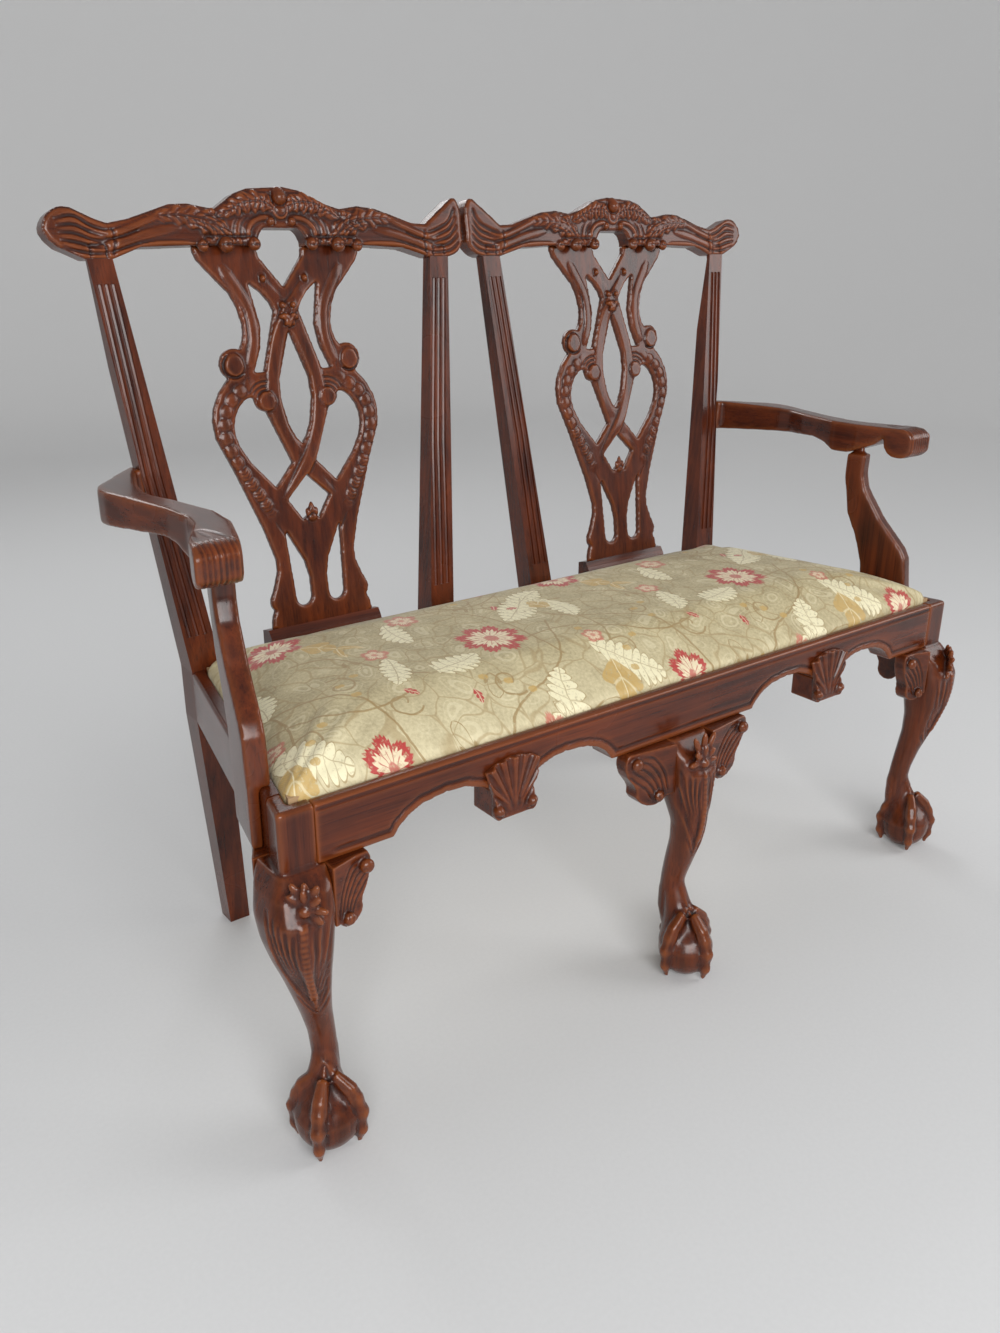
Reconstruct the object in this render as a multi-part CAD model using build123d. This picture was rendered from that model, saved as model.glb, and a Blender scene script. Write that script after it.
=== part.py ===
"""Chair-back settee in carved mahogany.

Two pierced chair backs stand on one seat frame with a cabriole leg at each front
corner and one in the middle, all on ball-and-claw feet. The upholstered seat drops
into a rebate in the rails and lifts straight out.

X runs along the settee, Y to the back, Z up, and the origin is on the floor under the
middle of the whole. Sizes are in millimetres.
"""

import os
from math import acos, cos, hypot, radians, sin, tan

from build123d import *

# Seat frame
front_width = 1161.0
back_width = 986.0
seat_depth = 413.5
rail_top = 420.0
rail_height = 70.0
rail_thickness = 38.0
rail_edge_round = 5.0
lip_width = 16.0
lip_drop = 18.0
tenon_length = 24.0
tenon_cheek = 10.0
glue_gap = 0.2
overrun = 5.0

# Two chair backs
back_rise = 504.0
back_rake_degrees = 8.0
back_centre = 287.5
post_splay = 47.5
post_depth = 37.0
stile_width_seat = 41.0
stile_width_top = 30.5
stile_depth_mid = 23.5
stile_depth_top = 17.5
inner_gap_seat = 77.0
inner_gap_top = 31.0
flute_radius = 3.2
flute_start = 46.0
flute_stop = 28.0
stile_tenon_height = 16.0
stile_tenon_shoulder = 6.0
stile_tenon_depth = 8.0
rear_foot_width = 30.0
rear_foot_depth = 30.0
rear_foot_inset = 35.0
rear_foot_setback = 41.0

# How far the splay and the taper have come half way up the stiles
splay_mid_share = 0.63
width_mid_share = 0.48

# Crest rails
crest_thickness = 26.0
crest_proud = 2.0
crest_reach = 297.5
crest_peak = 85.0
crest_dip = 15.0
keyhole_rise = 21.0
keyhole_half = 34.0
crest_boss_radius = 9.0
crest_boss_cap = 8.6

# Splats
splat_half = 122.0
splat_recess = 11.0
splat_thickness = 10.0
splat_tongue = 10.0
shoe_height = 30.0
shoe_depth = 30.0
shoe_margin = 9.0
shoe_set_back = 2.0
shoe_cove = 9.0
scroll_boss_proud = 2.5
scroll_boss_radius = 11.0
eye_radius = 9.5

# Arms and their supports
arm_height = 263.0
arm_length = 368.0
arm_bulge = 71.0
arm_post_height = 50.0
arm_waist_height = 34.0
arm_fall = 11.0
arm_tenon = 12.0
knuckle_radius = 23.0
knuckle_setback = 348.0
knuckle_rise = 4.0
support_thickness = 26.0
support_foot_width = 76.0
support_head_width = 30.0
support_lean = 69.0
support_foot_setback = 351.0
support_tenon = 14.0

# Front legs
leg_block = 42.5
knee_step = 8.0
knee_size = 77.0
ankle_diameter = 31.0
ball_radius = 38.0
ball_height = 36.0
claw_radius = 8.5
claw_reach = 47.0
foot_forward = 27.0
corner_foot_inset = 32.0
corner_foot_forward = 6.0
tongue_width = 60.0
tongue_thickness = 16.0

# Knee brackets and apron shells
bracket_length = 48.0
center_bracket_start = 33.0
center_bracket_length = 74.0
bracket_drop = 80.0
bracket_thickness = 30.0
bracket_tip_proud = 6.0
bracket_knee_proud = 17.0
arch_half = 157.0
arch_rise = 33.0
shell_half = 40.0
shell_base_half = 27.0
shell_top = 403.0
shell_bottom = 329.0
shell_proud = 9.0
shell_flute_radius = 6.0

# Inner carcase
cleat_depth = 16.0
cleat_height = 30.0
medial_width = 30.0
medial_height = 50.0
block_leg_length = 60.0
block_height = 34.0
block_gap_below_shelf = 4.0
screw_radius = 2.4
screw_head_radius = 4.6
screw_head_height = 3.0
screw_gap = 0.15

# Drop-in seat
seat_gap = 1.5
cover_thickness = 1.6
hem_width = 24.0
seat_frame_height = 20.0
seat_frame_width = 62.0
seat_bar_width = 50.0
webbing_width = 52.0
webbing_thickness = 1.5
webbing_inset = 14.0
hessian_thickness = 1.2
cushion_crown = 49.0
cushion_spread = 155.0
cushion_corner = 12.0
dust_cover_thickness = 1.0
tack_head_radius = 4.5
tack_head_height = 1.2
tack_shank = 1.6
tack_length = 9.0

# How finely round forms are cut
facet_degrees = 14.0

# Worked out from the sizes above
front_half = front_width / 2
back_half = back_width / 2
rail_bottom = rail_top - rail_height
shelf_top = rail_top - lip_drop
rake = radians(back_rake_degrees)
back_top = rail_top + back_rise
overall_depth = (foot_forward + claw_reach + seat_depth + (back_rise + crest_peak) * tan(rake)
                 + (crest_thickness - crest_proud) * cos(rake))
rail_y = foot_forward + claw_reach - overall_depth / 2
post_y = rail_y + seat_depth
flare = (front_half - back_half) / seat_depth

# The back plane holds the front faces of the stiles: its X is along the settee, its Y
# runs up the raked back and its Z points out of the front.
back_plane = Plane(origin=(0, post_y, rail_top), x_dir=(1, 0, 0), z_dir=(0, -cos(rake), sin(rake)))
front_plane = Plane(origin=(0, 0, 0), x_dir=(1, 0, 0), z_dir=(0, -1, 0))
side_plane = Plane(origin=(0, 0, 0), x_dir=(0, 1, 0), z_dir=(1, 0, 0))
floor_plane = Plane.XY


def up(rise):
    """Distance along the back plane of a point this high above the rail top."""
    return rise / cos(rake)


def back_y(z):
    """Depth of the stiles' front faces at a height."""
    return post_y + (z - rail_top) * tan(rake)


def side_x(y, inset=0.0):
    """Half-width to the side rail's outer face at a depth, moved in square to the face."""
    return back_half + flare * (post_y - y) - inset * hypot(1, flare)


def runs(edge):
    """A curved edge as short straight cuts, one for each facet_degrees that it turns."""
    if edge.geom_type == GeomType.LINE:
        return [edge]
    steps = 60
    stops = [0.0]
    turned = 0.0
    before = edge % 0.0
    for step in range(1, steps):
        along = edge % (step / steps)
        turned += before.get_angle(along)
        before = along
        if turned >= facet_degrees:
            stops.append(step / steps)
            turned = 0.0
    if len(stops) > 1 and turned < facet_degrees / 2:
        stops.pop()
    points = [edge @ stop for stop in stops] + [edge @ 1.0]
    return Polyline(*points).edges()


def board(plane, curves, near, far):
    """Solid of a closed outline drawn on a plane, between two offsets along its normal."""
    face = make_face([cut for curve in curves for edge in curve.edges() for cut in runs(edge)])
    return plane.location * Pos(0, 0, near) * extrude(face, far - near, dir=(0, 0, 1))


def peg(low_radius, high_radius, height, sides=8):
    """Straight-sided peg from the origin up, tapered where its two radii differ."""
    if low_radius == high_radius:
        return extrude(RegularPolygon(low_radius, sides), height)
    return loft([RegularPolygon(low_radius, sides), Pos(0, 0, height) * RegularPolygon(high_radius, sides)],
                ruled=True)


def ball(radius, cap, sides=16):
    """Faceted ball about the origin, flat at a cap's distance below and above it."""
    rings = sides // 2
    start = acos(cap / radius)
    sections = []
    for ring in range(rings + 1):
        turn = start + (radians(180) - 2 * start) * ring / rings
        sections.append(Pos(0, 0, -radius * cos(turn)) * RegularPolygon(radius * sin(turn), sides))
    return loft(sections, ruled=True)


def rounded_square(size, corner):
    """Square section with its corners rounded off in three cuts each."""
    cuts = 3
    half = size / 2 - corner
    points = []
    for quarter in range(4):
        for cut in range(cuts + 1):
            turn = radians(90) * (quarter + cut / cuts)
            start = radians(90) * quarter
            spread = half * (cos(start) - sin(start)), half * (sin(start) + cos(start))
            points.append((spread[0] + corner * cos(turn), spread[1] + corner * sin(turn)))
    return make_face(Polyline(*points, close=True))


def prism(points, bottom, top):
    """Solid of a straight-sided plan outline between two heights."""
    return board(floor_plane, [Polyline(*points, close=True)], bottom, top)


def scaled(shares, width, height, origin=(0.0, 0.0)):
    """Points of a table of shares, at real size."""
    return [(origin[0] + width * u, origin[1] + height * v) for u, v in shares]


def mirrored(curves):
    """The same outline on the other side of the middle line."""
    return [mirror(curve, Plane.YZ) for curve in curves]


def other_side(solid):
    """The left-hand copy of a right-hand piece."""
    return mirror(solid, Plane.YZ)


# Screws


def screw(point, direction, length, recess=0.0):
    """Countersunk wood screw with its head at a point, and the hole it fills."""
    seat = Plane(origin=point, z_dir=direction)

    def form(gap):
        shank = Pos(0, 0, screw_head_height / 2) * peg(
            screw_radius + gap, screw_radius + gap, length - screw_head_height / 2 + gap)
        head = peg(screw_head_radius + gap, screw_radius + gap, screw_head_height)
        return shank + head

    hole = form(screw_gap)
    if recess:
        mouth = screw_head_radius + screw_gap
        hole = hole + Pos(0, 0, -recess) * peg(mouth, mouth, recess)
    return seat.location * form(0.0), seat.location * hole


# Chair backs


def rear_post():
    """Right rear post: fluted stile above the seat and splayed rear leg below, in one."""
    mid_z = rail_top + back_rise / 2
    stile_width_mid = stile_width_top + width_mid_share * (stile_width_seat - stile_width_top)
    outer_mid = back_half + splay_mid_share * post_splay
    outer_top = back_half + post_splay
    leg_mid_share = 0.4
    outer_foot = back_half - rear_foot_inset
    foot_mid = back_half - leg_mid_share * rear_foot_inset
    inner_seat = back_half - stile_width_seat
    inner_foot = outer_foot - rear_foot_width
    inner_mid = foot_mid - (rear_foot_width + stile_width_seat) / 2
    front_view = [
        Line((outer_top, back_top), (outer_top - stile_width_top, back_top)),
        ThreePointArc((outer_top - stile_width_top, back_top), (outer_mid - stile_width_mid, mid_z),
                      (inner_seat, rail_top)),
        Line((inner_seat, rail_top), (inner_seat, rail_bottom)),
        ThreePointArc((inner_seat, rail_bottom), (inner_mid, rail_bottom / 2), (inner_foot, 0)),
        Line((inner_foot, 0), (outer_foot, 0)),
        ThreePointArc((outer_foot, 0), (foot_mid, rail_bottom / 2), (back_half, rail_bottom)),
        Line((back_half, rail_bottom), (back_half, rail_top)),
        ThreePointArc((back_half, rail_top), (outer_mid, mid_z), (outer_top, back_top)),
    ]
    setback_mid_share = 0.34
    foot_y = post_y + rear_foot_setback
    heel_y = foot_y + rear_foot_depth
    front_mid_y = post_y + setback_mid_share * rear_foot_setback
    heel_mid_y = front_mid_y + (post_depth + rear_foot_depth) / 2
    top_front = (back_y(back_top), back_top)
    top_back = (back_y(back_top) + stile_depth_top * cos(rake), back_top - stile_depth_top * sin(rake))
    side_view = [
        Line(top_front, (post_y, rail_top)),
        Line((post_y, rail_top), (post_y, rail_bottom)),
        ThreePointArc((post_y, rail_bottom), (front_mid_y, rail_bottom / 2), (foot_y, 0)),
        Line((foot_y, 0), (heel_y, 0)),
        ThreePointArc((heel_y, 0), (heel_mid_y, rail_bottom / 2), (post_y + post_depth, rail_bottom)),
        Line((post_y + post_depth, rail_bottom), (post_y + post_depth, rail_top)),
        ThreePointArc((post_y + post_depth, rail_top), (back_y(mid_z) + stile_depth_mid, mid_z), top_back),
        Line(top_back, top_front),
    ]
    post = board(front_plane, front_view, -heel_y - overrun, -post_y + overrun)
    post = post & board(side_plane, side_view, inner_foot - overrun, outer_top + overrun)
    centres = (
        (back_half - stile_width_seat / 2, 0.0),
        (outer_mid - stile_width_mid / 2, back_rise / 2),
        (outer_top - stile_width_top / 2, back_rise),
    )
    post = post - flutes(centres)
    return post + stile_tenon(outer_top - stile_width_top / 2, back_rise, 1)


def inner_stile():
    """Right back's inner stile: fluted, standing on the rear rail."""
    mid_z = rail_top + back_rise / 2
    gap_mid_share = 0.6
    inner_mid = inner_gap_top + gap_mid_share * (inner_gap_seat - inner_gap_top)
    stile_width_mid = stile_width_top + width_mid_share * (stile_width_seat - stile_width_top)
    seat_outer = inner_gap_seat + stile_width_seat
    top_outer = inner_gap_top + stile_width_top
    front_view = [
        Line((inner_gap_top, back_top), (top_outer, back_top)),
        ThreePointArc((top_outer, back_top), (inner_mid + stile_width_mid, mid_z), (seat_outer, rail_top)),
        Line((seat_outer, rail_top), (inner_gap_seat, rail_top)),
        ThreePointArc((inner_gap_seat, rail_top), (inner_mid, mid_z), (inner_gap_top, back_top)),
    ]
    top_front = (back_y(back_top), back_top)
    top_back = (back_y(back_top) + stile_depth_top * cos(rake), back_top - stile_depth_top * sin(rake))
    side_view = [
        Line(top_front, (post_y, rail_top)),
        Line((post_y, rail_top), (post_y + post_depth, rail_top)),
        ThreePointArc((post_y + post_depth, rail_top), (back_y(mid_z) + stile_depth_mid, mid_z), top_back),
        Line(top_back, top_front),
    ]
    stile = board(front_plane, front_view, -back_y(back_top) - post_depth, -post_y + overrun)
    stile = stile & board(side_plane, side_view, 0, seat_outer + overrun)
    centres = (
        (inner_gap_seat + stile_width_seat / 2, 0.0),
        (inner_mid + stile_width_mid / 2, back_rise / 2),
        (inner_gap_top + stile_width_top / 2, back_rise),
    )
    stile = stile - flutes(centres)
    foot = foot_tenon(inner_gap_seat + stile_width_seat / 2, glue_gap)
    return stile + foot + stile_tenon(inner_gap_top + stile_width_top / 2, back_rise, 1)


def flutes(centres):
    """Three round-ended flutes down the face of a stile, following its centre line."""
    spacing_share = 0.26
    cutter = None
    for step in (-1, 0, 1):
        places = []
        for (x, rise), width in zip(centres, (stile_width_seat, (stile_width_seat + stile_width_top) / 2,
                                              stile_width_top)):
            places.append((x + step * spacing_share * width, up(rise)))
        start = (up(flute_start) - places[0][1]) / (places[1][1] - places[0][1])
        stop = (up(flute_stop)) / (places[2][1] - places[1][1])
        low = (places[0][0] + start * (places[1][0] - places[0][0]), up(flute_start))
        high = (places[2][0] - stop * (places[2][0] - places[1][0]), places[2][1] - up(flute_stop))
        for a, b in ((low, places[1]), (places[1], high)):
            along = Vector(b[0] - a[0], b[1] - a[1], 0)
            place = Plane(origin=(a[0], a[1], 0), x_dir=(0, 0, 1), z_dir=along)
            rod = place.location * peg(flute_radius, flute_radius, along.length)
            cutter = rod if cutter is None else cutter + rod
    return back_plane.location * cutter


def stile_tenon(x, rise, fit):
    """Tenon on a stile's top, or with fit 0 the mortise that takes it."""
    gap = 0.0 if fit else glue_gap
    width = stile_width_top - 2 * stile_tenon_shoulder + 2 * gap
    height = stile_tenon_height + gap
    tenon = Pos(x, up(rise) + (height - overrun) / 2, -stile_depth_top / 2) * Box(
        width, height + overrun, stile_tenon_depth + 2 * gap)
    return back_plane.location * tenon


def foot_tenon(x, gap):
    """Tenon under an inner stile, drawn in by the glue gap on each side."""
    width = stile_width_seat - 2 * stile_tenon_shoulder
    depth = post_depth / 3
    height = tenon_length - gap
    return Pos(x, post_y + post_depth / 2, rail_top - height / 2 + overrun / 2) * Box(
        width - 2 * gap, depth - 2 * gap, height + overrun)


# Crest outline on the back plane: share of the reach outwards from the back's centre,
# and share of the peak's height above the stile tops.
outer_ear_shares = ((1.0, 0.36), (0.98, 0.55), (0.92, 0.67), (0.84, 0.59), (0.75, 0.465))
outer_wave_shares = ((0.75, 0.465), (0.63, 0.565), (0.54, 0.68), (0.45, 0.74), (0.37, 0.72), (0.295, 0.67))
centre_leaf_shares = ((0.295, 0.67), (0.23, 0.835), (0.15, 0.955), (0.07, 0.985), (0.0, 1.0),
                      (-0.07, 0.985), (-0.15, 0.9), (-0.23, 0.76), (-0.295, 0.705))
inner_wave_shares = ((-0.295, 0.705), (-0.37, 0.75), (-0.45, 0.74), (-0.56, 0.635), (-0.69, 0.505),
                     (-0.745, 0.5))
inner_ear_shares = ((-0.745, 0.5), (-0.82, 0.7), (-0.88, 0.86), (-0.92, 0.915), (-0.946, 0.8), (-0.952, 0.5),
                    (-0.955, 0.24))
inner_tip_shares = ((-0.955, 0.24), (-0.925, 0.09), (-0.867, 0.0))
inner_cove_shares = ((-0.755, 0.0), (-0.69, 0.08), (-0.6, 0.145), (-0.47, 0.185), (-0.4, 0.1765))
outer_cove_shares = ((0.4, 0.1765), (0.5, 0.188), (0.6, 0.165), (0.68, 0.1), (0.742, 0.0))
outer_tip_shares = ((0.856, 0.0), (0.9, 0.06), (0.975, 0.22), (1.0, 0.36))


def crest_rail():
    """Right crest rail: eared top rail with a keyhole arch over the splat."""
    def line_of(shares):
        return Spline(*scaled(shares, crest_reach, crest_peak, (back_centre, up(back_rise))))

    def point(share):
        return scaled((share,), crest_reach, crest_peak, (back_centre, up(back_rise)))[0]

    seat = up(back_rise)
    dip = seat + crest_dip
    arch_side_share = 0.45
    arch_top_share = 0.7
    arch_bow_share = 0.97
    keyhole = [
        Line(point(inner_cove_shares[-1]), (back_centre - keyhole_half, dip)),
        ThreePointArc((back_centre - keyhole_half, dip),
                      (back_centre - keyhole_half * arch_bow_share, dip + arch_side_share * keyhole_rise),
                      (back_centre - arch_top_share * keyhole_half, dip + keyhole_rise)),
        Line((back_centre - arch_top_share * keyhole_half, dip + keyhole_rise),
             (back_centre + arch_top_share * keyhole_half, dip + keyhole_rise)),
        ThreePointArc((back_centre + arch_top_share * keyhole_half, dip + keyhole_rise),
                      (back_centre + keyhole_half * arch_bow_share, dip + arch_side_share * keyhole_rise),
                      (back_centre + keyhole_half, dip)),
        Line((back_centre + keyhole_half, dip), point(outer_cove_shares[0])),
    ]
    outline = [line_of(outer_ear_shares), line_of(outer_wave_shares), line_of(centre_leaf_shares),
               line_of(inner_wave_shares), line_of(inner_ear_shares), line_of(inner_tip_shares),
               Line(point(inner_tip_shares[-1]), point(inner_cove_shares[0])), line_of(inner_cove_shares),
               *keyhole, line_of(outer_cove_shares),
               Line(point(outer_cove_shares[-1]), point(outer_tip_shares[0])), line_of(outer_tip_shares)]
    crest = board(back_plane, outline, crest_proud - crest_thickness, crest_proud)
    boss = ball(crest_boss_radius, crest_boss_cap)
    boss = Pos(back_centre, seat + crest_peak - crest_boss_radius, crest_proud) * boss
    crest = crest + back_plane.location * boss
    for x in (back_half + post_splay - stile_width_top / 2, inner_gap_top + stile_width_top / 2):
        crest = crest - stile_tenon(x, back_rise, 0)
    return crest - splat_tongues(glue_gap)


def splat_tongues(gap):
    """The two tongues on a splat's shoulders that enter the crest rail."""
    inner_share = 0.36
    outer_share = 0.86
    width = (outer_share - inner_share) * splat_half
    middle = (outer_share + inner_share) / 2 * splat_half
    tongues = None
    for side in (-1, 1):
        rise = up(back_rise) + crest_dip + (splat_tongue - overrun + gap) / 2
        tongue = Pos(back_centre + side * middle, rise,
                     -splat_recess - splat_thickness / 2) * Box(
            width + 2 * gap, splat_tongue + overrun + gap, splat_thickness + 2 * gap)
        tongues = tongue if tongues is None else tongues + tongue
    return back_plane.location * tongues


# Splat outline: share of the half-width from the centre line, and share of the height
# between the shoe and the crest rail.
base_shares = ((0.64, 0.0), (0.615, 0.033), (0.585, 0.049))
body_shares = ((0.585, 0.049), (0.62, 0.076), (0.575, 0.102), (0.515, 0.133), (0.488, 0.167), (0.497, 0.2),
               (0.535, 0.235), (0.59, 0.276), (0.675, 0.348), (0.82, 0.43), (0.97, 0.51), (1.0, 0.552),
               (0.985, 0.592), (0.935, 0.624), (0.87, 0.648), (0.76, 0.677))
scroll_end_shares = ((0.76, 0.677), (0.836, 0.715), (0.598, 0.746))
neck_shares = ((0.598, 0.746), (0.533, 0.777), (0.52, 0.808), (0.537, 0.834), (0.578, 0.865), (0.652, 0.896),
               (0.734, 0.916), (0.832, 0.941), (0.906, 0.961), (0.965, 1.0))
throat_shares = ((0.965, 1.0), (0.27, 1.0), (0.25, 0.975), (0.0, 0.898))
lens_shares = ((0.0, 0.793), (0.065, 0.757), (0.14, 0.706), (0.19, 0.65), (0.19, 0.61), (0.155, 0.563),
               (0.1, 0.525), (0.0, 0.491))
diamond_shares = ((0.0, 0.409), (0.262, 0.346), (0.1, 0.286), (0.0, 0.303))
slot_inner_shares = ((0.35, 0.272), (0.238, 0.225), (0.164, 0.184), (0.115, 0.143), (0.102, 0.102),
                     (0.107, 0.076))
slot_bottom_shares = ((0.107, 0.076), (0.209, 0.049), (0.311, 0.076))
slot_outer_shares = ((0.311, 0.076), (0.311, 0.184), (0.324, 0.225), (0.35, 0.272))
heart_inner_shares = ((0.143, 0.444), (0.221, 0.479), (0.291, 0.517), (0.344, 0.556), (0.377, 0.584))
heart_eye_shares = ((0.377, 0.584), (0.471, 0.597), (0.5, 0.622))
heart_outer_shares = ((0.5, 0.622), (0.574, 0.623), (0.656, 0.611), (0.738, 0.583), (0.775, 0.544),
                      (0.754, 0.511), (0.689, 0.476), (0.574, 0.436), (0.467, 0.403), (0.377, 0.382))
side_inner_shares = ((0.41, 0.914), (0.336, 0.902), (0.27, 0.888), (0.189, 0.865), (0.143, 0.84))
side_strap_shares = ((0.143, 0.84), (0.184, 0.808), (0.242, 0.777), (0.287, 0.746), (0.32, 0.71),
                     (0.344, 0.687))
side_outer_shares = ((0.467, 0.687), (0.41, 0.714), (0.369, 0.74), (0.336, 0.773), (0.324, 0.814),
                     (0.336, 0.851), (0.377, 0.888), (0.41, 0.914))
scroll_boss_share = (0.69, 0.715)
eye_share = (0.37, 0.618)


def splat():
    """Right splat: pierced strapwork with scrolls, a lens, a pair of hearts and two slots."""
    bottom = up(shoe_height)
    height = up(back_rise) + crest_dip - bottom

    def points(shares):
        return scaled(shares, splat_half, height, (0.0, bottom))

    def hole(curves):
        return board(floor_plane, curves, -splat_recess - splat_thickness - overrun, overrun)

    half = [Spline(*points(base_shares)), Spline(*points(body_shares)),
            ThreePointArc(*points(scroll_end_shares)),
            Spline(*points(neck_shares)), Polyline(*points(throat_shares))]
    foot = Line((points(base_shares)[0][0], bottom), (-points(base_shares)[0][0], bottom))
    plate = board(floor_plane, half + mirrored(half) + [foot], -splat_recess - splat_thickness, -splat_recess)
    lens = [Spline(*points(lens_shares))]
    diamond = [Polyline(*points(diamond_shares))]
    plate = plate - hole(lens + mirrored(lens)) - hole(diamond + mirrored(diamond))
    paired = (
        [Spline(*points(slot_inner_shares)), ThreePointArc(*points(slot_bottom_shares)),
         Spline(*points(slot_outer_shares))],
        [Spline(*points(heart_inner_shares)), ThreePointArc(*points(heart_eye_shares)),
         Spline(*points(heart_outer_shares)), Line(points(heart_outer_shares)[-1],
         points(heart_inner_shares)[0])],
        [Spline(*points(side_inner_shares)), Spline(*points(side_strap_shares)),
         Line(points(side_strap_shares)[-1], points(side_outer_shares)[0]),
         Spline(*points(side_outer_shares))],
    )
    for curves in paired:
        cutter = hole(curves)
        plate = plate - cutter - other_side(cutter)
    for share, radius in ((scroll_boss_share, scroll_boss_radius), (eye_share, eye_radius)):
        x, v = points((share,))[0]
        for side in (-1, 1):
            plate = plate + Pos(side * x, v, -splat_recess - overrun) * peg(
                radius, radius, scroll_boss_proud + overrun, 16)
    plate = back_plane.location * Pos(back_centre, 0, 0) * plate
    return plate + splat_tongues(0.0) + splat_foot(0.0)


def splat_foot(gap):
    """The splat's tenon in its shoe."""
    width = 2 * base_shares[0][0] * splat_half - 2 * stile_tenon_shoulder
    depth_share = 0.5
    depth = depth_share * shoe_height
    rise = up(shoe_height) + (overrun - depth - gap) / 2
    foot = Pos(back_centre, rise, -splat_recess - splat_thickness / 2) * Box(
        width + 2 * gap, depth + overrun + gap, splat_thickness + 2 * gap)
    return back_plane.location * foot


def splat_shoe():
    """Right shoe: the coved moulding on the rear rail that takes the splat's foot."""
    half = base_shares[0][0] * splat_half + shoe_margin
    front = post_y + shoe_set_back
    back = front + shoe_depth
    top = rail_top + shoe_height * cos(rake)
    lean = shoe_height * sin(rake)
    cove_share = 0.4
    section = [
        Line((front, rail_top), (back, rail_top)),
        Line((back, rail_top), (back, top - overrun)),
        Line((back, top - overrun), (front + shoe_cove + lean, top)),
        ThreePointArc((front + shoe_cove + lean, top),
                      (front + cove_share * shoe_cove, rail_top + shoe_height / 2), (front, rail_top)),
    ]
    shoe = board(side_plane, section, back_centre - half, back_centre + half)
    trim = back_plane.location * Pos(back_centre, up(shoe_height) + shoe_height / 2, -shoe_depth / 2) * Box(
        2 * half + overrun, shoe_height, 3 * shoe_depth)
    return shoe - trim - splat_foot(glue_gap)


# Rails


def rear_rail():
    """Rear rail between the posts, under both chair backs."""
    inner = back_half - stile_width_seat
    back = post_y + post_depth
    rail = prism([(-inner, post_y), (inner, post_y), (inner, back), (-inner, back)], rail_bottom, rail_top)
    for side in (-1, 1):
        rail = rail + rear_rail_tenon(side, 0.0)
        rail = rail - Pos(side * (inner_gap_seat + stile_width_seat / 2), post_y + post_depth / 2,
                          rail_top - (tenon_length - overrun) / 2) * Box(
            stile_width_seat - 2 * stile_tenon_shoulder, post_depth / 3, tenon_length + overrun)
    return rail


def rear_rail_tenon(side, gap):
    """Tenon of the rear rail in a post, or its mortise."""
    inner = back_half - stile_width_seat
    height = rail_height / 2
    return Pos(side * (inner + (tenon_length - overrun + gap) / 2), post_y + post_depth / 2,
               rail_bottom + rail_height / 2) * Box(
        tenon_length + overrun + gap, tenon_cheek + 2 * gap, height + 2 * gap)


def rear_seat_cleat():
    """Ledge strip on the front of the rear rail that the seat's back edge rests on."""
    y = post_y - cleat_depth
    half = side_x(y, rail_thickness)
    back = side_x(post_y, rail_thickness)
    return prism([(-half, y), (half, y), (back, post_y), (-back, post_y)], shelf_top - cleat_height,
                 shelf_top)


arch_shares = ((1.0, 0.09), (0.955, 0.36), (0.89, 0.61), (0.8, 0.82), (0.7, 0.94), (0.57, 1.0), (0.48, 0.99),
               (0.38, 0.91), (0.3, 0.77), (0.235, 0.66), (0.17, 0.4))


def front_rail():
    """Front rail with a pair of arches each side of the two shells, rebated for the seat."""
    end = front_half - leg_block
    stub = arch_shares[-1][0] * arch_half
    top = [Line((-end, rail_top), (end, rail_top)), Line((end, rail_top), (end, rail_bottom))]
    lower = []
    at = (end, rail_bottom)
    for centre in (back_centre, -back_centre):
        right = scaled(arch_shares, arch_half, arch_rise, (centre, rail_bottom))
        left = [(2 * centre - x, z) for x, z in reversed(right)]
        lower += [Line(at, (right[0][0], rail_bottom)), Line((right[0][0], rail_bottom), right[0]),
                  Spline(*right), Line(right[-1], left[0]), Spline(*left),
                  Line(left[-1], (left[-1][0], rail_bottom))]
        at = (left[-1][0], rail_bottom)
    closing = [Line(at, (-end, rail_bottom)), Line((-end, rail_bottom), (-end, rail_top))]
    rail = board(front_plane, top + lower + closing, -rail_y - rail_thickness, -rail_y)
    lip_edge = rail.edges().filter_by(Axis.X).group_by(Axis.Z)[-1].sort_by(Axis.Y)[0]
    rail = fillet(lip_edge, rail_edge_round)
    rail = rail - prism([(-end - overrun, rail_y + lip_width), (end + overrun, rail_y + lip_width),
                         (end + overrun, rail_y + rail_thickness + overrun),
                         (-end - overrun, rail_y + rail_thickness + overrun)], shelf_top, rail_top + overrun)
    rail = rail - center_tongue(glue_gap)
    for side in (-1, 1):
        rail = rail + front_rail_tenon(side, 0.0)
    return rail


def front_rail_tenon(side, gap):
    """Tenon of the front rail in a corner leg, or its mortise."""
    end = front_half - leg_block
    top = shelf_top - lip_drop / 2
    bottom = rail_bottom + lip_drop / 2
    middle = end + (tenon_length - overrun + gap) / 2
    return Pos(side * middle, rail_y + lip_width, (top + bottom) / 2) * Box(
        tenon_length + overrun + gap, tenon_cheek + 2 * gap, top - bottom + 2 * gap)


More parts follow.
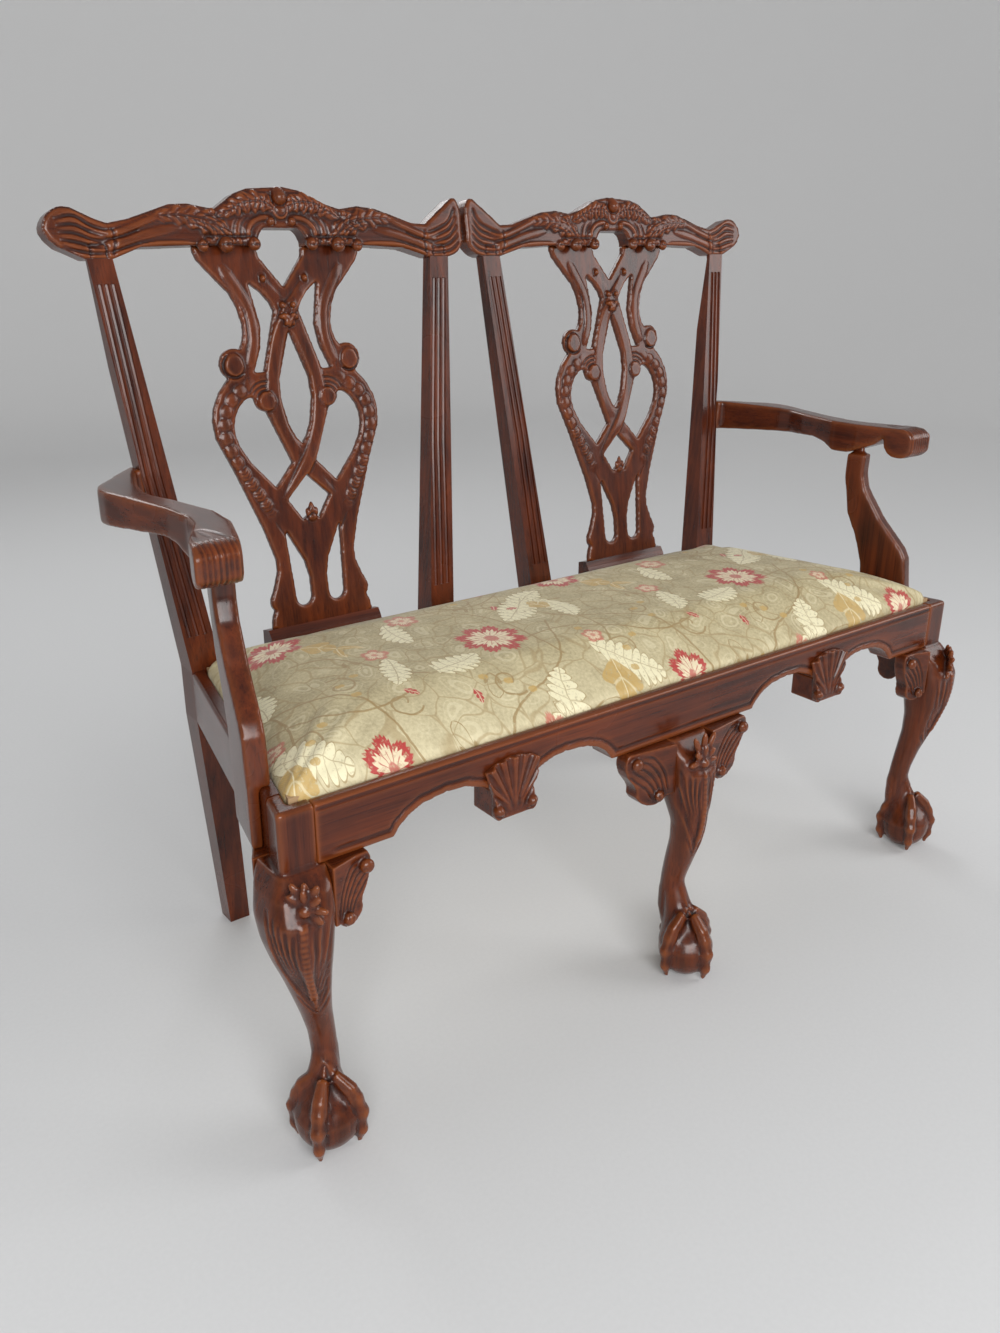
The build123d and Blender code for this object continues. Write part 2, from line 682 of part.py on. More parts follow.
def side_rail():
    """Right side rail, flared to the front and rebated for the seat."""
    front = rail_y + leg_block
    outline = [(side_x(front), front), (side_x(post_y), post_y),
               (side_x(post_y, rail_thickness), post_y), (side_x(front, rail_thickness), front)]
    rail = prism(outline, rail_bottom, rail_top)
    tops = rail.edges().group_by(Axis.Z)[-1].sort_by(Axis.X)
    along = [edge for edge in tops if edge.length > seat_depth / 2]
    rail = fillet(along[-1], rail_edge_round)
    rebate = [(side_x(front - overrun, lip_width), front - overrun),
              (side_x(post_y + overrun, lip_width), post_y + overrun),
              (side_x(post_y + overrun, rail_thickness + overrun), post_y + overrun),
              (side_x(front - overrun, rail_thickness + overrun), front - overrun)]
    rail = rail - prism(rebate, shelf_top, rail_top + overrun)
    rail = rail + side_rail_tenon(front, -1, 0.0) + side_rail_tenon(post_y, 1, 0.0)
    for hole in support_screws()[1]:
        rail = rail - hole
    for hole in block_screws()[1]:
        rail = rail - hole
    return rail


def side_rail_tenon(y, toward, gap):
    """Tenon at one end of the side rail, in line with the rail, or its mortise."""
    top = shelf_top - lip_drop / 2
    bottom = rail_bottom + lip_drop / 2
    near = y - toward * overrun
    tip = y + toward * (tenon_length / 2 + gap)
    near_edge = lip_width + glue_gap
    far_edge = near_edge + tenon_cheek
    return prism([(side_x(near, near_edge - gap), near), (side_x(tip, near_edge - gap), tip),
                  (side_x(tip, far_edge + gap), tip), (side_x(near, far_edge + gap), near)],
                 bottom - gap, top + gap)


def medial_rail():
    """Rail from front to back under the middle of the seat."""
    front = rail_y + rail_thickness
    back = post_y - cleat_depth
    half = medial_width / 2
    rail = prism([(-half, front), (half, front), (half, back), (-half, back)],
                 shelf_top - medial_height, shelf_top)
    tail = prism([(-half, back - overrun), (half, back - overrun), (half, post_y), (-half, post_y)],
                 shelf_top - medial_height, shelf_top - cleat_height)
    return rail + tail


# Front legs

# Section tables of the legs: height as a share of the height under the rail, then places
# as shares of the knee's size, width as a share of the way from ankle to knee, and
# corner radius as a share of the width.
corner_leg_shares = ((1.0, 0.35, -0.35, 0.60, 0.13), (0.943, 0.266, -0.195, 0.848, 0.229),
                     (0.871, 0.201, -0.078, 1.0, 0.325), (0.8, 0.188, -0.026, 0.913, 0.384),
                     (0.729, 0.221, 0.0, 0.739, 0.43), (0.657, 0.273, 0.0, 0.5, 0.463),
                     (0.571, 0.344, -0.039, 0.283, 0.477), (0.486, 0.429, -0.11, 0.12, 0.49),
                     (0.4, 0.513, -0.156, 0.022, 0.494), (0.314, 0.558, -0.182, 0.0, 0.494),
                     (0.243, 0.55, -0.162, 0.022, 0.494), (0.186, 0.51, -0.091, 0.196, 0.475),
                     (0.114, 0.43, 0.04, 0.283, 0.47))
center_leg_shares = ((1.0, -0.33, 0.75, 0.13), (0.943, -0.117, 0.87, 0.229), (0.871, 0.052, 0.848, 0.325),
                     (0.8, 0.084, 0.804, 0.384), (0.729, 0.169, 0.63, 0.43), (0.657, 0.214, 0.391, 0.463),
                     (0.571, 0.169, 0.283, 0.477), (0.486, 0.058, 0.196, 0.49), (0.4, -0.045, 0.091, 0.494),
                     (0.314, -0.117, 0.0, 0.494), (0.243, -0.104, 0.0, 0.494), (0.186, 0.065, 0.196, 0.475),
                     (0.114, 0.28, 0.283, 0.47))


def knee_width(share):
    """Width of a leg at a share of the way from its ankle to its knee."""
    return ankle_diameter + share * (knee_size - ankle_diameter)


# Path of a talon over the ball: share of the way out to its knuckle, height as a share
# of the ball's height, and thickness as a share of the knuckle's.
claw_shares = ((0.22, 2.5, 1.0), (0.66, 2.05, 1.15), (1.0, 1.28, 1.0), (0.99, 0.55, 0.7), (0.9, 0.1, 0.36))


def claw(turn):
    """One talon: down from the ankle over the ball, turned about the foot's axis."""
    knuckle = claw_reach - claw_radius
    sections = []
    for index, (out, high, thick) in enumerate(claw_shares):
        before = claw_shares[max(index - 1, 0)]
        after = claw_shares[min(index + 1, len(claw_shares) - 1)]
        run = Vector((after[0] - before[0]) * knuckle, 0, (after[1] - before[1]) * ball_height)
        seat = Plane(origin=(out * knuckle, 0, high * ball_height), x_dir=(0, 1, 0), z_dir=run)
        sections.append(seat.location * RegularPolygon(thick * claw_radius, 6))
    return Rot(0, 0, turn) * loft(sections, ruled=True)


def ball_and_claw(turns):
    """Ball gripped by talons, cut flat where it stands."""
    foot = Pos(0, 0, ball_height) * ball(ball_radius, ball_height)
    for turn in turns:
        foot = foot + claw(turn)
    below = Pos(0, 0, -ball_radius) * Box(4 * ball_radius, 4 * ball_radius, 2 * ball_radius)
    return foot - below


def corner_leg():
    """Right front leg: corner block, cabriole knee and ankle, ball-and-claw foot."""
    inner_y = rail_y + leg_block
    inner_x = front_half - leg_block
    block = prism([(inner_x, rail_y), (front_half, rail_y), (side_x(inner_y), inner_y), (inner_x, inner_y)],
                  rail_bottom - overrun, rail_top)
    verticals = block.edges().filter_by(Axis.Z).sort_by(Axis.Y)[:2].sort_by(Axis.X)
    block = fillet(verticals[-1], rail_edge_round)
    tops = block.edges().group_by(Axis.Z)[-1]
    outer = [edge for edge in tops
             if edge.center().Y < inner_y - overrun / 2 and edge.center().X > inner_x + overrun / 2]
    top_round_share = 0.98
    block = fillet(outer, rail_edge_round * top_round_share)
    rebate = [(inner_x - overrun, rail_y + lip_width),
              (side_x(rail_y + lip_width, lip_width), rail_y + lip_width),
              (side_x(inner_y + overrun, lip_width), inner_y + overrun),
              (inner_x - overrun, inner_y + overrun)]
    block = block - prism(rebate, shelf_top, rail_top + overrun)
    sections = []
    for high, inward, forward, width, round_share in corner_leg_shares:
        size = knee_width(width)
        place = Pos(front_half - inward * knee_size, rail_y - forward * knee_size, high * rail_bottom)
        sections.append(place * rounded_square(size, round_share * size))
    leg = block + loft(sections, ruled=True) - knee_trim()
    leg = leg - front_rail_tenon(1, glue_gap) - side_rail_tenon(inner_y, -1, glue_gap)
    foot = ball_and_claw((-45, 45, -135, 135))
    foot = Pos(front_half - corner_foot_inset, rail_y - corner_foot_forward, 0) * foot
    return leg + foot


def knee_trim():
    """What is cut from a corner knee to seat its two brackets against flat faces."""
    low = rail_bottom - bracket_drop
    x = front_half - leg_block - knee_step
    y = rail_y + leg_block + knee_step
    far = 2 * knee_size
    corners = [(x - far, rail_y - far), (x, rail_y - far), (x, y + far), (x - far, y + far)]
    beside = prism(corners, low, rail_bottom)
    behind = prism([(x - far, y), (x + far, y), (x + far, y + far), (x - far, y + far)], low, rail_bottom)
    return beside + behind


def center_tongue(gap):
    """Tongue of the middle leg let into the back of the front rail, or its housing."""
    back = rail_y + rail_thickness
    half = tongue_width / 2 + gap
    front = back - tongue_thickness - gap
    return prism([(-half, front), (half, front), (half, back), (-half, back)],
                 rail_bottom - (0 if gap else overrun), shelf_top)


def center_leg():
    """Middle leg: the same cabriole seen straight, with a tongue behind the rail."""
    sections = []
    for high, forward, width, round_share in center_leg_shares:
        size = knee_width(width)
        place = Pos(0, rail_y - forward * knee_size, high * rail_bottom)
        sections.append(place * rounded_square(size, round_share * size))
    far = 2 * knee_size
    trim = None
    for side in (-1, 1):
        beside = prism([(side * center_bracket_start, rail_y - far), (side * far, rail_y - far),
                        (side * far, rail_y + far), (side * center_bracket_start, rail_y + far)],
                       rail_bottom - bracket_drop, rail_bottom)
        trim = beside if trim is None else trim + beside
    leg = loft(sections, ruled=True) - trim + center_tongue(0.0)
    leg = leg + Pos(0, rail_y - foot_forward, 0) * ball_and_claw((-90, 0, 180, 90))
    for hole in tongue_screws()[1]:
        leg = leg - hole
    return leg


# Bracket outline: share of its length away from the leg, share of its drop below the rail.
bracket_nose_shares = ((0.985, 0.0), (1.06, -0.12), (1.05, -0.27), (0.96, -0.44), (0.84, -0.58), (0.8, -0.78))
bracket_lobe_shares = ((0.8, -0.78), (0.47, -0.99), (0.14, -0.88))
bracket_face_shares = ((1.1, 0.0), (0.8, 0.06), (0.45, 0.38), (0.0, 1.0))


def knee_bracket(length, start=0.0):
    """Carved bracket: X away from the leg, Y up, Z out of the rail's face."""
    nose = Spline(*scaled(bracket_nose_shares, length, bracket_drop))
    lobe = ThreePointArc(*scaled(bracket_lobe_shares, length, bracket_drop))
    end = scaled(bracket_lobe_shares, length, bracket_drop)[-1]
    outline = [Line((-start, 0), scaled(bracket_nose_shares, length, bracket_drop)[0]), nose, lobe,
               Line(end, (-start, end[1])), Line((-start, end[1]), (-start, 0))]
    back = bracket_knee_proud - bracket_thickness
    piece = board(floor_plane, outline, back, bracket_knee_proud)
    rise = bracket_knee_proud - bracket_tip_proud
    face = scaled(bracket_face_shares, length, rise, (0.0, bracket_tip_proud))
    rest = [(-start, face[-1][1]), (-start, back)] if start else [(0, back)]
    plan = [Spline(*face), Polyline(face[-1], *rest, (face[0][0], back), face[0])]
    plan_plane = Plane(origin=(0, 0, 0), x_dir=(1, 0, 0), z_dir=(0, -1, 0))
    return piece & board(plan_plane, plan, 0, bracket_drop + overrun)


def front_brackets():
    """The brackets on the front rail: beside the left leg, and right of the middle leg."""
    knee_x = front_half - leg_block - knee_step
    left = Plane(origin=(-knee_x, rail_y, rail_bottom), x_dir=(1, 0, 0), z_dir=(0, -1, 0))
    center = Plane(origin=(center_bracket_start, rail_y, rail_bottom), x_dir=(1, 0, 0), z_dir=(0, -1, 0))
    return left.location * knee_bracket(bracket_length), center.location * knee_bracket(center_bracket_length)


def side_bracket():
    """The bracket under the right side rail, cut square against its leg."""
    knee_y = rail_y + leg_block + knee_step
    place = Plane(origin=(side_x(knee_y), knee_y, rail_bottom), x_dir=Vector(-flare, 1, 0).normalized(),
                  z_dir=Vector(1, flare, 0))
    piece = place.location * knee_bracket(bracket_length, overrun)
    far = 2 * knee_size
    return piece - prism([(front_half - far, knee_y - far), (front_half + far, knee_y - far),
                          (front_half + far, knee_y), (front_half - far, knee_y)],
                         rail_bottom - 2 * bracket_drop, rail_top)


def apron_shell():
    """Right shell: a fluted fan on the front rail, hooked under its stub between the arches."""
    stub_z = rail_bottom + arch_shares[-1][1] * arch_rise
    base_z = shell_bottom + shell_flute_radius
    shoulder_z = shell_top - 2 * shell_flute_radius
    waist = (shell_base_half, base_z + 2 * shell_flute_radius)
    corner = (shell_half, shoulder_z)
    side = Spline((shell_base_half, shell_bottom), waist, corner)
    outline = [Line((-shell_base_half, shell_bottom), (shell_base_half, shell_bottom)), side,
               ThreePointArc(corner, (0, shell_top), (-shell_half, shoulder_z)), *mirrored([side])]
    plate = board(front_plane, outline, -rail_y, -rail_y + shell_proud)
    stub = arch_shares[-1][0] * arch_half
    hook = prism([(-stub, rail_y - shell_proud / 2), (stub, rail_y - shell_proud / 2),
                  (stub, rail_y + rail_thickness), (-stub, rail_y + rail_thickness)], shell_bottom, stub_z)
    shell = plate + hook
    flute_count = 8
    fan_degrees = 50.0
    fan_start_share = 0.2
    centre = Pos(0, rail_y - shell_proud, base_z)
    for flute in range(flute_count):
        turn = fan_degrees * (2 * flute / (flute_count - 1) - 1)
        reach = shell_top - shell_bottom
        start = fan_start_share * reach
        flute_end = fan_start_share * shell_flute_radius
        cut = Pos(0, 0, start) * peg(flute_end, shell_flute_radius, reach - start, 6)
        shell = shell - centre * Rot(0, turn, 0) * cut
    volute_share = 1.15
    volute_radius = volute_share * shell_flute_radius
    for way in (-1, 1):
        roll = Rot(90, 0, 0) * peg(volute_radius, volute_radius, shell_proud, 12)
        shell = shell + Pos(way * (shell_base_half - volute_radius / 2), rail_y - shell_proud / 4,
                            shell_bottom + 5 * volute_radius / 4) * roll
    far = 2 * shell_half
    inside = rail_y + rail_thickness
    behind = prism([(-far, rail_y), (far, rail_y), (far, inside), (-far, inside)], stub_z, rail_top)
    return Pos(back_centre, 0, 0) * (shell - behind)


# Arms

# Plan of an arm: share of its length forward of the post, share of the bulge outwards
# from the post's outer face.
arm_outer_shares = ((-0.065, 0.0), (0.0, 0.32), (0.085, 0.70), (0.185, 1.0), (0.296, 0.97), (0.42, 0.80),
                    (0.56, 0.60), (0.65, 0.545), (0.715, 0.57), (0.78, 0.67), (0.86, 0.88),
                    (0.95, 1.11), (1.0, 1.15))
arm_inner_shares = ((1.0, 0.44), (0.93, 0.31), (0.85, 0.155), (0.75, 0.03), (0.66, 0.01), (0.57, 0.1),
                    (0.46, 0.24), (0.385, 0.39), (0.264, 0.42), (0.152, 0.25), (0.014, 0.02))
# Side view of an arm: share of its length forward, height of the top as a share of the
# fall, and the underside as shares of the waist's height below the top line.
arm_top_shares = ((-0.1, 0.0), (0.0, 0.0), (0.18, 0.05), (0.37, -0.1), (0.56, -0.4), (0.7, -0.8),
                  (0.82, -1.0), (0.93, -0.85))
arm_under_shares = ((0.865, -1.05), (0.81, -1.25), (0.76, -1.45), (0.73, -1.53))
arm_belly_shares = ((0.66, -1.53), (0.6, -1.22), (0.48, -1.08), (0.33, -1.2), (0.155, -1.32), (0.0, -1.47),
                    (-0.1, -1.48))


def arm_frame():
    """Where an arm springs from its post: outer face, front face and top."""
    z = rail_top + arm_height
    u = arm_height / back_rise
    bow_share = 0.52
    splay_share = (1 + bow_share) * u - bow_share * u * u
    return back_half + splay_share * post_splay, back_y(z), z


def arm():
    """Right arm: sawn to its plan and side view, with a scrolled knuckle."""
    x0, y0, z0 = arm_frame()
    start = (x0, y0 + stile_depth_mid)
    outer = [(x0 + share * arm_bulge, y0 - along * arm_length) for along, share in arm_outer_shares]
    inner = [(x0 + share * arm_bulge, y0 - along * arm_length) for along, share in arm_inner_shares]
    outer[0] = start
    sink = stile_width_top / 3
    inside = x0 - sink
    plan = [Spline(*outer), Line(outer[-1], inner[0]), Spline(*inner),
            Polyline(inner[-1], (inside, inner[-1][1]), (inside, start[1]), start)]
    body = board(floor_plane, plan, z0 - 2 * arm_post_height, z0 + arm_fall)

    def place(shares, drop):
        return [(y0 - along * arm_length, z0 + drop * share) for along, share in shares]

    knuckle_y = y0 - knuckle_setback
    knuckle_z = z0 - arm_fall + knuckle_rise - knuckle_radius
    top = place(arm_top_shares, arm_fall)
    under = place(arm_under_shares, arm_waist_height)
    belly = place(arm_belly_shares, arm_waist_height)
    top[-1] = (knuckle_y, knuckle_z + knuckle_radius)
    neck_turn = radians(20)
    under_turn = radians(40)
    neck = (knuckle_y + knuckle_radius * cos(neck_turn), knuckle_z + knuckle_radius * sin(neck_turn))
    under[0] = neck
    low = (knuckle_y - knuckle_radius * sin(under_turn), knuckle_z - knuckle_radius * cos(under_turn))
    side = [Spline(*top), ThreePointArc(top[-1], low, neck),
            Spline(*under), Line(under[-1], belly[0]), Spline(*belly), Line(belly[-1], top[0])]
    body = body & board(side_plane, side, x0 - 2 * sink, x0 + 2 * arm_bulge)
    post = board(front_plane, post_clearance(), -y0 - 2 * post_depth, -y0 + arm_length)
    body = body - post - arm_support_tenon(glue_gap)
    return body + arm_tenon_piece(0.0)


def post_clearance():
    """Outline in front view of the space that the right post's stile fills."""
    mid_z = rail_top + back_rise / 2
    outer_mid = back_half + splay_mid_share * post_splay
    outer_top = back_half + post_splay
    inner = back_half - 2 * stile_width_seat
    return [ThreePointArc((back_half, rail_top), (outer_mid, mid_z), (outer_top, back_top)),
            Polyline((outer_top, back_top), (inner, back_top), (inner, rail_top), (back_half, rail_top))]


def arm_tenon_piece(gap):
    """Tenon of an arm in its post, or its mortise."""
    x0, y0, z0 = arm_frame()
    height_share = 0.5
    height = height_share * arm_post_height
    x = x0 - (arm_tenon + gap - overrun) / 2
    return Pos(x, y0 + stile_depth_mid / 2, z0 - arm_post_height / 2) * Box(
        arm_tenon + gap + overrun, tenon_cheek + 2 * gap, height + 2 * gap)


# Side view of a support on the side rail's own plane: share of its height above the
# rail, and front and back edges as shares of the lean.
support_front_shares = ((0.0, -0.55), (0.1, -0.515), (0.17, -0.49), (0.26, -0.44), (0.38, -0.19),
                        (0.49, 0.145),
                        (0.61, 0.45), (0.73, 0.69), (0.85, 0.795), (1.0, 0.785))
support_back_shares = ((1.0, 1.225), (0.85, 1.24), (0.73, 1.195), (0.61, 1.13), (0.49, 1.0), (0.38, 0.82),
                       (0.26, 0.70), (0.17, 0.61), (0.1, 0.585), (0.0, 0.56))


def support_plane():
    """Plane of the side rail's outer face: X towards the back, Z outwards, origin at the support."""
    _, y0, _ = arm_frame()
    y = y0 - support_foot_setback
    return Plane(origin=(side_x(y), y, rail_top), x_dir=Vector(-flare, 1, 0).normalized(),
                 z_dir=Vector(1, flare, 0).normalized())


def support_height():
    """From the rail top to the flat under the arm."""
    _, _, z0 = arm_frame()
    return z0 + arm_waist_height * arm_belly_shares[0][1] - rail_top


def arm_support():
    """Right arm support: an S-shaped board lapped over the outside of the side rail."""
    height = support_height()
    front = [(lean * support_lean, share * height) for share, lean in support_front_shares]
    back = [(lean * support_lean, share * height) for share, lean in support_back_shares]
    outline = [Spline(*front), Line(front[-1], back[0]), Spline(*back), Line(back[-1], front[0])]
    plane = support_plane()
    upper = board(plane, outline, -support_thickness / 2, support_thickness / 2)
    foot_front = front[0][0]
    foot_back = back[-1][0]
    tab = [Polyline((foot_front, overrun), (foot_back, overrun),
                    (foot_back, -rail_height), (foot_front, -rail_height), close=True)]
    lower = board(plane, tab, 0, support_thickness / 2)
    piece = upper + lower + arm_support_tenon(0.0)
    for hole in support_screws()[1]:
        piece = piece - hole
    return piece


def arm_support_tenon(gap):
    """Tenon on a support's head, or its mortise in the arm."""
    centre_share = (support_front_shares[-1][1] + support_back_shares[0][1]) / 2
    width_share = 0.55
    width = width_share * support_head_width
    height = support_height()
    piece = Pos(centre_share * support_lean, height + (support_tenon - overrun + gap) / 2, 0) * Box(
        width + 2 * gap, support_tenon + overrun + gap, tenon_cheek + 2 * gap)
    return support_plane().location * piece


# Inner blocks and screws


def support_screws():
    """Screws from inside the right side rail into the support's foot, and their holes."""
    plane = support_plane()
    made = []
    high_share = 0.32
    low_share = 0.74
    for share in (high_share, low_share):
        for offset in (-1, 1):
            drop = share * rail_height + lip_drop / 3
            start = plane.from_local_coords((offset * support_foot_width / 4, -drop, -rail_thickness))
            made.append(screw(start, plane.z_dir, rail_thickness + support_thickness / 3))
    return [pair[0] for pair in made], [pair[1] for pair in made]


def tongue_screws():
    """Screws through the middle leg's tongue into the front rail, and their holes."""
    made = []
    for side in (-1, 1):
        start = (side * (medial_width / 2 + tongue_width / 2) / 2, rail_y + rail_thickness,
                 rail_bottom + rail_height / 2)
        made.append(screw(start, (0, -1, 0), rail_thickness - lip_width / 2))
    return [pair[0] for pair in made], [pair[1] for pair in made]


def front_block_outline():
    """Plan of the right front corner block, behind the leg."""
    x = front_half - leg_block
    y = rail_y + leg_block
    front = rail_y + rail_thickness
    return [(x - block_leg_length, front), (x, front), (x, y), (side_x(y, rail_thickness), y),
            (side_x(y + block_leg_length, rail_thickness), y + block_leg_length)]


def rear_block_outline():
    """Plan of the right rear corner block, in front of the cleat."""
    y = post_y - cleat_depth
    inner = side_x(y, rail_thickness)
    return [(inner, y), (inner - block_leg_length, y),
            (side_x(y - block_leg_length, rail_thickness), y - block_leg_length)]


def corner_block(outline):
    """Glue block screwed into two rails."""
    top = shelf_top - block_gap_below_shelf
    piece = prism(outline, top - block_height, top)
    for hole in block_screws()[1]:
        piece = piece - hole
    return piece


def block_screws():
    """Screws of the two right-hand corner blocks into their rails, and their holes."""
    z = shelf_top - block_gap_below_shelf - block_height / 2
    outward = Vector(1, flare, 0).normalized()
    bite = rail_thickness / 2
    far_share = 0.62
    made = []
    for outline, front in ((front_block_outline(), True), (rear_block_outline(), False)):
        along_x = Vector(*(outline[0] if front else outline[1]))
        along_side = Vector(*outline[-1])
        cross = along_x + (along_side - along_x) * (1 - far_share)
        beside = along_x + (along_side - along_x) * far_share
        if front:
            toward, wall = Vector(0, -1, 0), cross.Y - (rail_y + rail_thickness)
        else:
            toward, wall = Vector(0, 1, 0), post_y - cross.Y
        side_wall = (side_x(beside.Y, rail_thickness) - beside.X) / hypot(1, flare)
        for spot, way, cover in ((cross, toward, wall), (beside, outward, side_wall)):
            start = Vector(spot.X, spot.Y, z) + way * screw_head_height
            made.append(screw(start, way, cover - screw_head_height + bite, 2 * screw_head_radius))
    return [pair[0] for pair in made], [pair[1] for pair in made]


# Drop-in seat

def seat_outline(inset):
    """Plan corners of the seat, drawn in from the rebate's lip."""
    margin = seat_gap + inset
    front = rail_y + lip_width + margin
    back = post_y - margin
    return [(side_x(front, lip_width + margin), front), (side_x(back, lip_width + margin), back),
            (-side_x(back, lip_width + margin), back), (-side_x(front, lip_width + margin), front)]


def seat_slab(inset, bottom, top):
    """Upright-sided slab with the seat's outline."""
    return prism(seat_outline(inset), bottom, top)


def cushion(skin):
    """Seat body under a skin of the given thickness: upright edges and a crowned top."""
    bottom = shelf_top + skin
    edge = frame_top()
    top = edge + cushion_crown - skin
    corner_share = 0.2
    section_count = 7
    body = seat_slab(skin, bottom, edge)
    sections = []
    for step in range(section_count + 1):
        turn = radians(90) * step / section_count
        inset = cushion_spread * (1 - cos(turn))
        corner = cushion_corner * corner_share + inset / 6
        outline = []
        corners = [Vector(x, y) for x, y in seat_outline(skin + inset)]
        for index, point in enumerate(corners):
            before = (corners[index - 1] - point).normalized()
            after = (corners[(index + 1) % 4] - point).normalized()
            middle = point + (before + after) * corner * corner_share
            outline += [point + before * corner, middle, point + after * corner]
        place = Pos(0, 0, edge + sin(turn) * (top - edge))
        sections.append(place * make_face(Polyline(*outline, close=True)))
    return body + loft(sections, ruled=True)


def seat_cover():
    """Fabric over the padding, down the edges and turned under as a hem."""
    skin = cushion(0.0) - cushion(cover_thickness)
    opening = prism(seat_outline(hem_width), shelf_top - overrun, shelf_top + 2 * cover_thickness)
    return skin - opening


def seat_padding():
    """Stuffing over the hessian, to the inside of the cover."""
    floor = frame_top() + 2 * webbing_thickness + hessian_thickness
    inside = cushion(cover_thickness)
    return inside & prism(seat_outline(-overrun), floor, floor + 2 * cushion_crown)


def frame_top():
    """Top of the seat's wooden frame."""
    return shelf_top + cover_thickness + seat_frame_height


def seat_frame():
    """The five members of the seat's frame, half-lapped at the corners."""
    bottom = shelf_top + cover_thickness
    top = frame_top()
    middle = (bottom + top) / 2
    outer = seat_outline(cover_thickness)
    inner = seat_outline(cover_thickness + seat_frame_width)
    (fx, fy), (bx, by) = outer[0], outer[1]
    (gx, gy), (cx, cy) = inner[0], inner[1]
    front = prism([(-fx, fy), (fx, fy), (side_line(outer, gy), gy), (-side_line(outer, gy), gy)], bottom, top)
    back = prism([(-bx, by), (bx, by), (side_line(outer, cy), cy), (-side_line(outer, cy), cy)], bottom, top)
    side = prism([(fx, fy), (bx, by), (side_line(inner, by), by), (side_line(inner, fy), fy)], bottom, top)
    half_bar = seat_bar_width / 2
    bar_front = fy + seat_frame_width / 2
    bar_back = by - seat_frame_width / 2
    corners = [(-half_bar, bar_front), (half_bar, bar_front), (half_bar, bar_back), (-half_bar, bar_back)]
    bar = prism(corners, bottom, top)
    lower_half = Pos(0, 0, (bottom + middle) / 2) * Box(front_width, front_width, middle - bottom)
    upper_half = Pos(0, 0, (top + middle) / 2) * Box(front_width, front_width, top - middle)
    side_low = side & lower_half
    side_mid = side - front - back
    side = side_low + side_mid
    bar_low = bar & lower_half
    bar_mid = bar - front - back
    bar = bar_low + bar_mid
    other = other_side(side)
    front = front - side - other - bar
    back = back - side - other - bar
    return front, back, side, other, bar


def side_line(outline, y):
    """Half-width of a seat outline's side at a depth."""
    (x0, y0), (x1, y1) = outline[0], outline[1]
    return x0 + (x1 - x0) * (y - y0) / (y1 - y0)


def seat_webbing():
    """Webbing straps tacked over the frame, the long ones above the cross ones."""
    base = frame_top()
    outline = seat_outline(webbing_inset)
    (fx, fy), (bx, by) = outline[0], outline[1]
    cross_count = 8
    long_count = 3
    straps = []
    usable = 2 * bx - webbing_width
    for index in range(cross_count):
        x = -usable / 2 + usable * index / (cross_count - 1)
        place = Pos(x, (fy + by) / 2, base + webbing_thickness / 2)
        straps.append(place * Box(webbing_width, by - fy, webbing_thickness))
    for index in range(long_count):
        y = fy + (by - fy) * (index + 1) / (long_count + 1)
        place = Pos(0, y, base + 3 * webbing_thickness / 2)
        straps.append(place * Box(2 * bx, webbing_width, webbing_thickness))
    joined = straps[0]
    for strap in straps[1:]:
        joined = joined + strap
    return joined


def seat_hessian():
    """Hessian sheet over the webbing."""
    base = frame_top() + 2 * webbing_thickness
    return prism(seat_outline(webbing_inset / 2), base, base + hessian_thickness)


def seat_dust_cover():
    """Black cloth closing the underside, inside the hem."""
    bottom = shelf_top + cover_thickness - dust_cover_thickness
    return prism(seat_outline(hem_width + seat_gap), bottom, bottom + dust_cover_thickness)


def tack_places():
    """Spots around the dust cover's edge where tacks are driven."""
    outline = seat_outline(hem_width + 3 * tack_head_radius)
    (fx, fy), (bx, by) = outline[0], outline[1]
    long_count = 8
    side_count = 2
    spots = []
    for index in range(long_count):
        share = index / (long_count - 1) * 2 - 1
        spots += [(fx * share, fy), (bx * share, by)]
    for index in range(side_count):
        y = fy + (by - fy) * (index + 1) / (side_count + 1)
        spots += [(side_line(outline, y), y), (-side_line(outline, y), y)]
    return spots


def seat_tacks():
    """Tacks through the dust cover's edge into the frame."""
    bottom = shelf_top + cover_thickness - dust_cover_thickness
    tacks = []
    for x, y in tack_places():
        head = Pos(x, y, bottom) * extrude(RegularPolygon(tack_head_radius, 8), -tack_head_height)
        shank = Pos(x, y, bottom + tack_length / 2) * Box(tack_shank, tack_shank, tack_length)
        tacks.append(head + shank)
    return tacks


def tack_holes():
    """Holes that the tacks' shanks fill."""
    bottom = shelf_top + cover_thickness - dust_cover_thickness
    width = tack_shank + 2 * screw_gap
    holes = [Pos(x, y, bottom + tack_length / 2) * Box(width, width, tack_length + 2 * screw_gap)
             for x, y in tack_places()]
    return Compound(children=holes)


# Build and export


